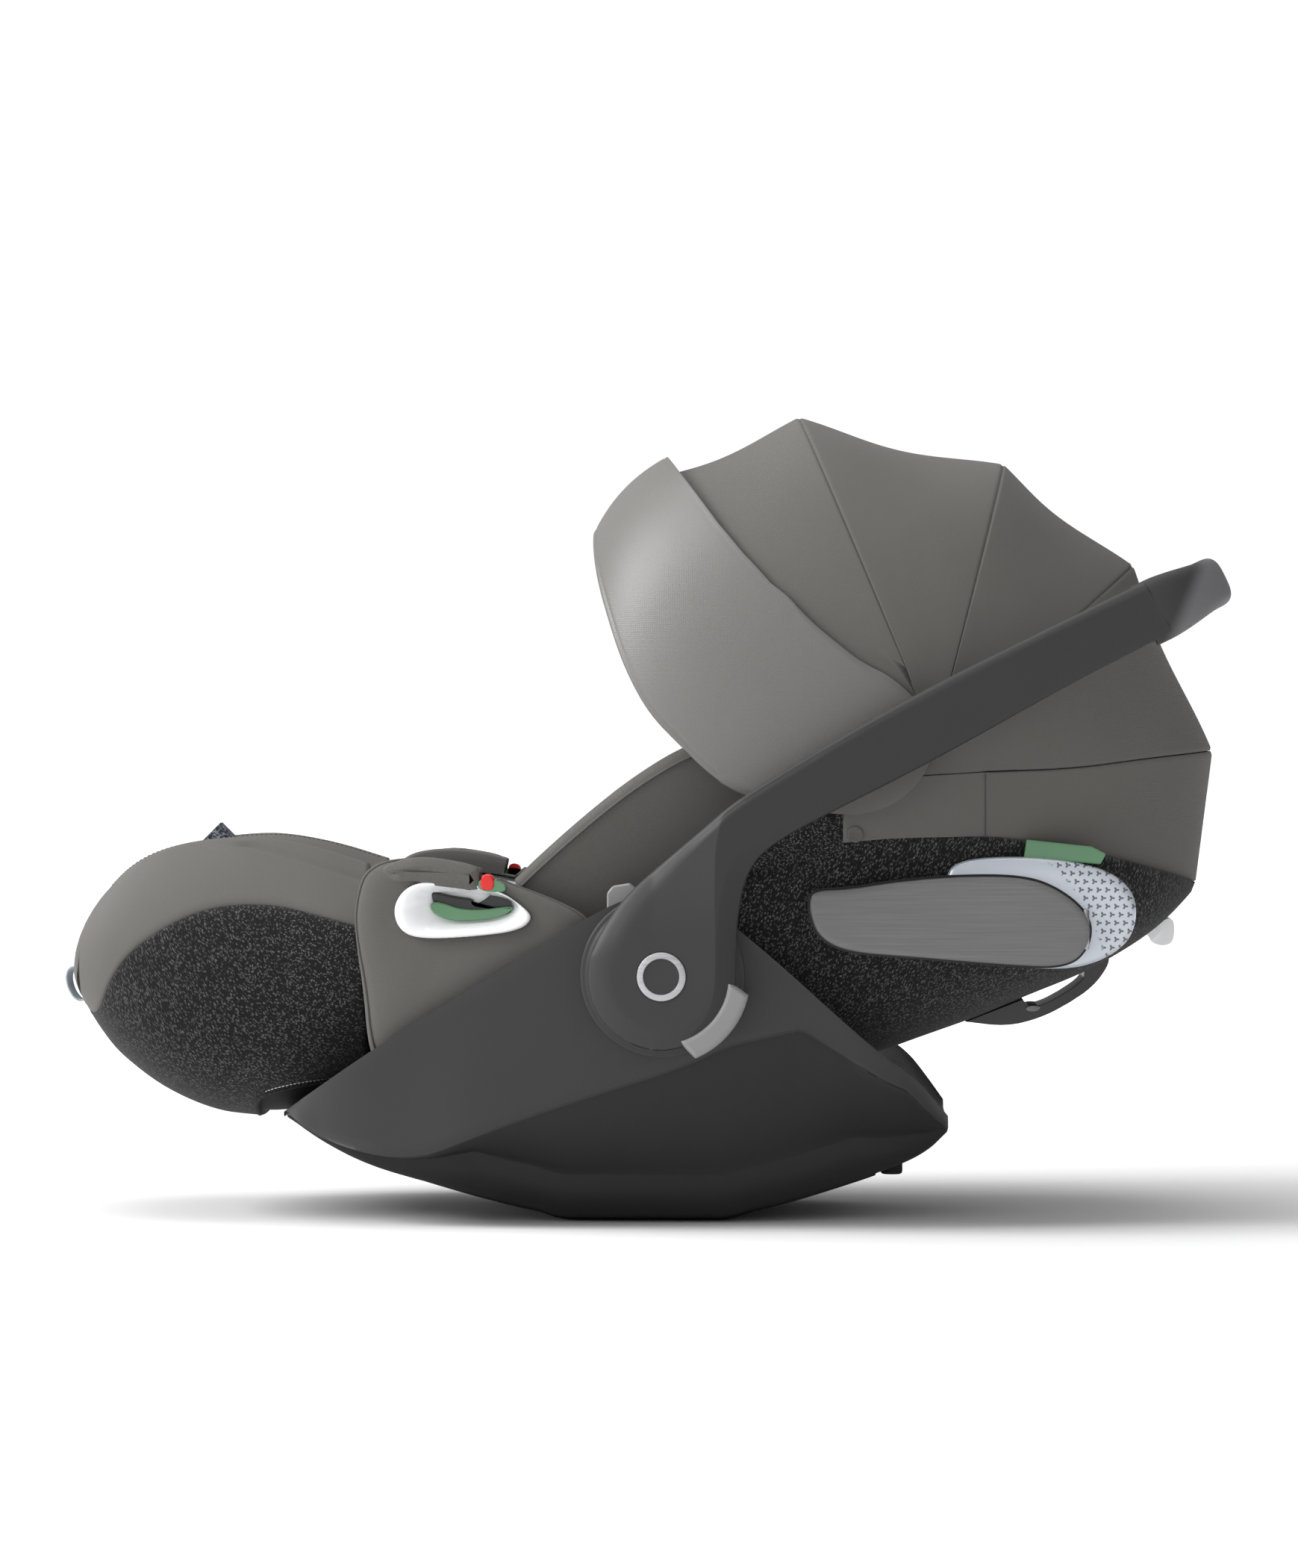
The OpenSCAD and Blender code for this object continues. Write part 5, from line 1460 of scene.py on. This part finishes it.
def build_visor():
    f1 = math.degrees(math.asin((REACH / VISOR_R) ** (ARCH_N / 2)))
    nf, nt = 130, 48
    fs = arch_angles(123, VISOR_R, 180, f1, nf, 3000)
    q_r = VISOR_R * power(np.sin(np.radians(fs)), 2 / ARCH_N)
    front, back = at(q_r, visor_front), at(q_r, visor_back)
    ts = np.concatenate([[0, 0.012, 0.024], np.linspace(0.04, 0.93, nt - 8), [0.948, 0.956, 0.964, 0.98, 1]])
    # the lobe's edge, from the back of the grid round to its front
    edge = even(cut([[r * math.cos(math.radians(a)), r * math.sin(math.radians(a))] for a, r in lobe_line], 3), 110)

    def layer(d):
        grid = []
        for t in ts:
            a = back + (front - back) * t
            hem = 0.7 * math.exp(-((t - 0.956) / 0.008) ** 2) + 0.5 * math.exp(-((t - 0.018) / 0.01) ** 2)
            swell = 2.2 * math.sin(math.pi * t) * smooth_step((fs - f1) / 25) * smooth_step((180 - f1 - fs) / 25)
            r = VISOR_R - 4 * t * t * smooth_step((fs - f1) / 40) * smooth_step((180 - f1 - fs) / 40)
            grid.append(arch(a, r - d - hem + swell, VISOR_W - d - hem * 0.4 + swell * 0.3, fs))
        grid = np.array(grid)
        points = [grid.reshape(-1, 3)]
        for side, col in ((-1, 0), (1, nf - 1)):
            loop = [(p[0] - pivot[0], p[2] - pivot[1]) for p in grid[:, col]]
            loop = np.array(list(edge[:-1]) + loop[::-1][:-1])
            for lam in rings:
                q = np.linalg.norm(loop, axis=1) * lam
                ang = np.degrees(np.arctan2(loop[:, 1], loop[:, 0]))
                pts = visor_point(ang, q, d)
                pts[:, 1] *= -side
                if lam == 1:
                    k = len(edge) - 1
                    pts[k:] = grid[::-1, col][:-1]
                    pts[0] = grid[0, col]
                points.append(pts)
            points.append([[pivot[0], side * (VISOR_W - d), pivot[1]]])
        return np.vstack(points)

    rings = [1, 0.9, 0.8, 0.7, 0.6, 0.5, 0.4, 0.3, 0.2, 0.1]
    n_t = len(ts)
    faces = []
    for i in range(n_t - 1):
        for j in range(nf - 1):
            k = i * nf + j
            faces.append((k, k + 1, k + nf + 1, k + nf))
    m = len(edge) - 1 + n_t - 1
    start = n_t * nf
    for side in (-1, 1):
        for r in range(len(rings) - 1):
            for j in range(m):
                a, b = start + r * m + j, start + r * m + (j + 1) % m
                quad = (a, b, b + m, a + m)
                faces.append(quad if side < 0 else quad[::-1])
        last = start + (len(rings) - 1) * m
        c = start + len(rings) * m
        for j in range(m):
            tri = (last + j, last + (j + 1) % m, c)
            faces.append(tri if side < 0 else tri[::-1])
        start = c + 1
    outer, inner, faces = weld(layer(0), layer(2.2), faces)
    vis = shell("visor_cloth", outer, inner, faces, 0.5)
    place(vis, GREY_SATIN, "visor", "visor")
    paint(vis, GREY, lambda face: 0.095 < face.center.x and face.center.z < 0.312 + 0.5 * (face.center.x - 0.150))


def weld(outer, inner, faces):
    """Merges points that lie at the same place."""
    key, index, kept_points = {}, [], []
    for i, p in enumerate(outer):
        k = tuple(np.round(p, 3))
        if k not in key:
            key[k] = len(kept_points)
            kept_points.append(i)
        index.append(key[k])
    made = []
    for f in faces:
        g = []
        for v in f:
            if index[v] not in g:
                g.append(index[v])
        if len(g) > 2:
            made.append(tuple(g))
    return outer[kept_points], inner[kept_points], made


build_canopy()


# ---- handle

arm_front = [[352, 456], [304, 433], [184, 374], [70, 306], [44, 283], [20, 263], [-9, 238], [-26, 214], [-35, 194]]
arm_rear = [[67.7, 186], [68, 204], [69, 222], [73, 246], [82, 264], [101, 278], [125, 291], [201, 329],
            [304, 387], [352, 411], [372, 421]]


ARM_Y, ARM_IN = 216, 194.0      # the arm's outer and inner face, from the middle plane
HUB_R, KEY_R = 52, (46.2, 62)   # radii of the arm's round end and of the release key's two arcs
BAND_Z = 306                    # above this the arm's front face also gets the rear part's painted shade


def arc(r, a0, a1, m):
    """m points round the hub from one angle to another."""
    a = np.radians(np.linspace(a0, a1, m))
    return np.stack([hub[0] + r * np.cos(a), hub[1] + r * np.sin(a)], 1)


def build_arm(s, tag):
    n = 230
    front = np.vstack([cut(arm_front), arc(HUB_R, 166, 262, 60)])
    rear = np.vstack([cut(arm_rear)[::-1], arc(HUB_R, 356, 262, 60)])
    front, rear = even(front, n), even(rear, n)
    ts = np.concatenate([[0, 0.006, 0.014, 0.026, 0.042, 0.062, 0.085, 0.11, 0.14], np.linspace(0.17, 0.83, 44),
                         [0.86, 0.89, 0.915, 0.938, 0.958, 0.974, 0.986, 0.994, 1]])
    crease_line = cut([[36, 140], [46, 150], [52, 165], [53.5, 185], [53, 215], [53, 250], [53.5, 270], [56.5, 287],
                       [61, 301], [68, 312]], 3)
    outline = np.vstack([front, rear[::-1]])
    split = 30              # the column that lies on the crease
    tries = np.linspace(0.1, 0.93, 400)[:, None]
    meet = []
    for k in range(n):
        p = front[k] + (rear[k] - front[k]) * tries
        past = p[:, 0] > np.interp(p[:, 1], crease_line[:, 1], crease_line[:, 0])
        meet.append(float(tries[np.argmax(past), 0]) if past.any() else 0.93)
    meet = np.convolve(np.pad(meet, 2, "edge"), np.full(5, 0.2), "valid")
    o, q = [], []
    for k in range(n):
        t0 = ts[split]
        tk = np.where(ts < t0, ts * meet[k] / t0, 1 - (1 - ts) * (1 - meet[k]) / (1 - t0))
        p = front[k] + (rear[k] - front[k]) * tk[:, None]
        gap = np.sqrt(((p[:, None] - outline[None]) ** 2).sum(2)).min(1)
        fore = smooth_step((0.55 - tk) / 0.1)
        x, z = p[:, 0], p[:, 1]
        low = 1 - smooth_step((z - 205) / 85)
        wide = fore * (6.5 + 9 * low) + (1 - fore) * (5 + 10 * (1 - smooth_step((z - 258) / 34)))
        deep = fore * (4.2 + 3.6 * low) + (1 - fore) * (3.6 + 3.0 * low)
        u = np.clip(1 - gap / wide, 0, 1)
        slope = u + 0.12 * (1 - np.exp(-u * 12)) * (u - 1)
        y = ARM_Y - deep * (0.62 * slope + 0.38 * (1 - np.sqrt(np.maximum(0, 1 - u ** 4))))
        # the lobe above the hub falls away from the crease towards the front edge
        cx = np.interp(z, crease_line[:, 1], crease_line[:, 0])
        left = np.maximum(cx - x, 0)
        high = smooth_step((z - 196) / 64)
        y -= 0.23 * np.minimum(left, 44) * high * (z < BAND_Z)
        o.append(np.column_stack([x, s * y, z]))
        q.append(np.column_stack([x, np.full(len(ts), s * ARM_IN), z]))
    arm = sheet("carry_arm_" + tag, o, q, 0.04, 60)
    place(arm, SHELL_ARM, "handle", "handle_arm_" + tag)

    # painted shade: the arm's rear part, behind the crease, and its front face above BAND_Z take the darker copy of the
    # arm's grey
    def banded(face):
        spot = on_outside(face, o)
        return spot and (spot[1] >= split or front[spot[0]][1] > BAND_Z)

    paint(arm, SHELL_ARM_PAINTED_SHADE, banded)
    ring = lathe("hub_badge_" + tag, hub, s, [(12.6, 214), (12.6, 216.4), (13.0, 216.9), (16.4, 216.9), (17, 216.4),
                 (17, 214)], 96)
    place(ring, BADGE, "handle", *once(s, "hub_badges"))
    line = lathe("badge_outline_" + tag, hub, s, [(17.05, 214), (17.05, 216.25), (17.9, 216.25), (17.9, 214)], 96)
    place(line, INNER, "handle", slot="dark_plastic")
    button = []
    for t in np.concatenate([[0, 0.03, 0.07, 0.13], np.linspace(0.2, 0.8, 9), [0.87, 0.93, 0.97, 1]]):
        r = KEY_R[0] + 15.8 * t
        ang = np.radians(np.linspace(-4.5 - 8 * t, -74.5 + 7 * t, 70))
        run_r = (ang[0] - ang) * r
        edge = np.minimum(min(r - KEY_R[0], KEY_R[1] - r), np.minimum(run_r, run_r[-1] - run_r))
        y = 215 - 3.4 * (1 - np.clip(edge / 3.2, 0, 1)) ** 2
        button.append(np.column_stack([hub[0] + r * np.cos(ang), s * y, hub[1] + r * np.sin(ang)]))
    key = sheet("release_key_" + tag, button, np.array(button) * [1, 0, 1] + [0, s * 197, 0], 0.05, 60)
    place(key, BUTTON, "release_" + tag, "release_button_" + tag)


for s, tag in SIDES:
    build_arm(s, tag)


def build_grip():
    lean = math.radians(26)
    bar = np.array([math.cos(lean), 0, math.sin(lean)])
    up = np.array([-math.sin(lean), 0, math.cos(lean)])
    start = np.array([360.0, 0, 436.0])
    gy, reach, corner = 205.0, 44.0, 42.0
    half = [((gy, u), 0.0) for u in np.linspace(-8, 2, 5)]
    for t in np.linspace(0, 90, 31)[1:]:
        c, sn = math.cos(math.radians(t)), math.sin(math.radians(t))
        half.append(((gy - corner + corner * c, 2 + corner * sn), t))
    for t in np.linspace(0, 1, 26)[1:]:
        half.append((((gy - corner) * (1 - t), reach), 90.0))
    rings = []
    for side, seq in ((1, half), (-1, half[-2::-1])):
        for (y, u), a in seq:
            ca, sa = math.cos(math.radians(a)), math.sin(math.radians(a))
            f = smooth_step(min(1, a / 60))
            hw, ht = 22.6 + (18 - 22.6) * f, 11 + (14 - 11) * f
            ring = []
            for turn in np.linspace(0, 2 * math.pi, 40, endpoint=False):
                p, r = hw * signed(math.cos(turn), 0.62), ht * signed(math.sin(turn), 0.62)
                pt = start + bar * (u + r * sa) + up * p
                ring.append((pt[0], side * (y + r * ca), pt[2]))
            rings.append(ring)
    place(tube("carry_grip", rings, False, 60), GRIP, "handle", "handle_grip")


build_grip()


# ---- CAD nodes that keep their shape

kept = {"latch_bars": STEEL, "hub_pins": STEEL, "leg_shell": INNER, "canopy_rib_1": DARK,
        "canopy_rib_2": DARK, "canopy_rib_3": DARK, "canopy_rib_4": DARK}
for node, mat in kept.items():
    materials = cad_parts[node].data.materials
    materials.clear()
    materials.append(mat)


# ---- floor and light

def build_studio():
    n = Finish("floor")
    v = n.coord("Object")
    col = n.blend(n.noise(v, 3, 2), (0.93, 0.93, 0.93, 1), (0.95, 0.95, 0.95, 1))
    length = n.add("VectorMath", {"operation": "LENGTH"}, Vector=v)
    mat = n.set(Base_Color=col, Roughness=0.9, Specular_IOR_Level=0.1, Emission_Color=(1, 1, 1, 1),
                Emission_Strength=n.fade(length.outputs[1], 0.9, 2.6, 0.0, 0.75))
    size, z = 30.0, -0.0003
    verts = [(-size, -size, z), (size, -size, z), (size, size, z), (-size, size, z)]
    mesh = bpy.data.meshes.new("floor")
    mesh.from_pydata(verts, [], [(0, 1, 2, 3)])
    mesh.materials.append(mat)
    link("floor", mesh)

    # a white dome to look at, and for the light a grey one, brighter to the front left
    world = bpy.data.worlds.new("studio")
    world.use_nodes = True
    n = Nodes(world.node_tree)
    dot = n.add("VectorMath", {"operation": "DOT_PRODUCT"})
    n.put(dot, "0", n.add("TexCoord").outputs["Generated"])
    n.put(dot, "1", (-0.7, -0.38, 0.6))
    pick = n.add("Mix")
    n.put(pick, "0", n.add("LightPath").outputs["Is Camera Ray"])
    n.put(pick, "2", n.fade(dot.outputs["Value"], -0.7, 1.0, 0.18, 0.74))
    n.put(pick, "3", 1.02)
    back = n.tree.nodes["Background"]
    n.put(back, "0", (1, 1, 1, 1))
    n.put(back, "1", pick.outputs[0])
    scene.world = world

    for name, where, aim, size, watts in (("key", (-2.7, -0.75, 2.1), (0, 0, 0.35), 1.5, 92),
                                          ("top", (-0.3, -0.1, 2.9), (0, 0, 0.25), 2.2, 36)):
        data = bpy.data.lights.new(name, "AREA")
        data.shape = "RECTANGLE"
        data.size = data.size_y = size
        data.energy = watts
        link(name, data, where, Vector(aim) - Vector(where))
    scene.view_settings.view_transform = "Standard"


build_studio()
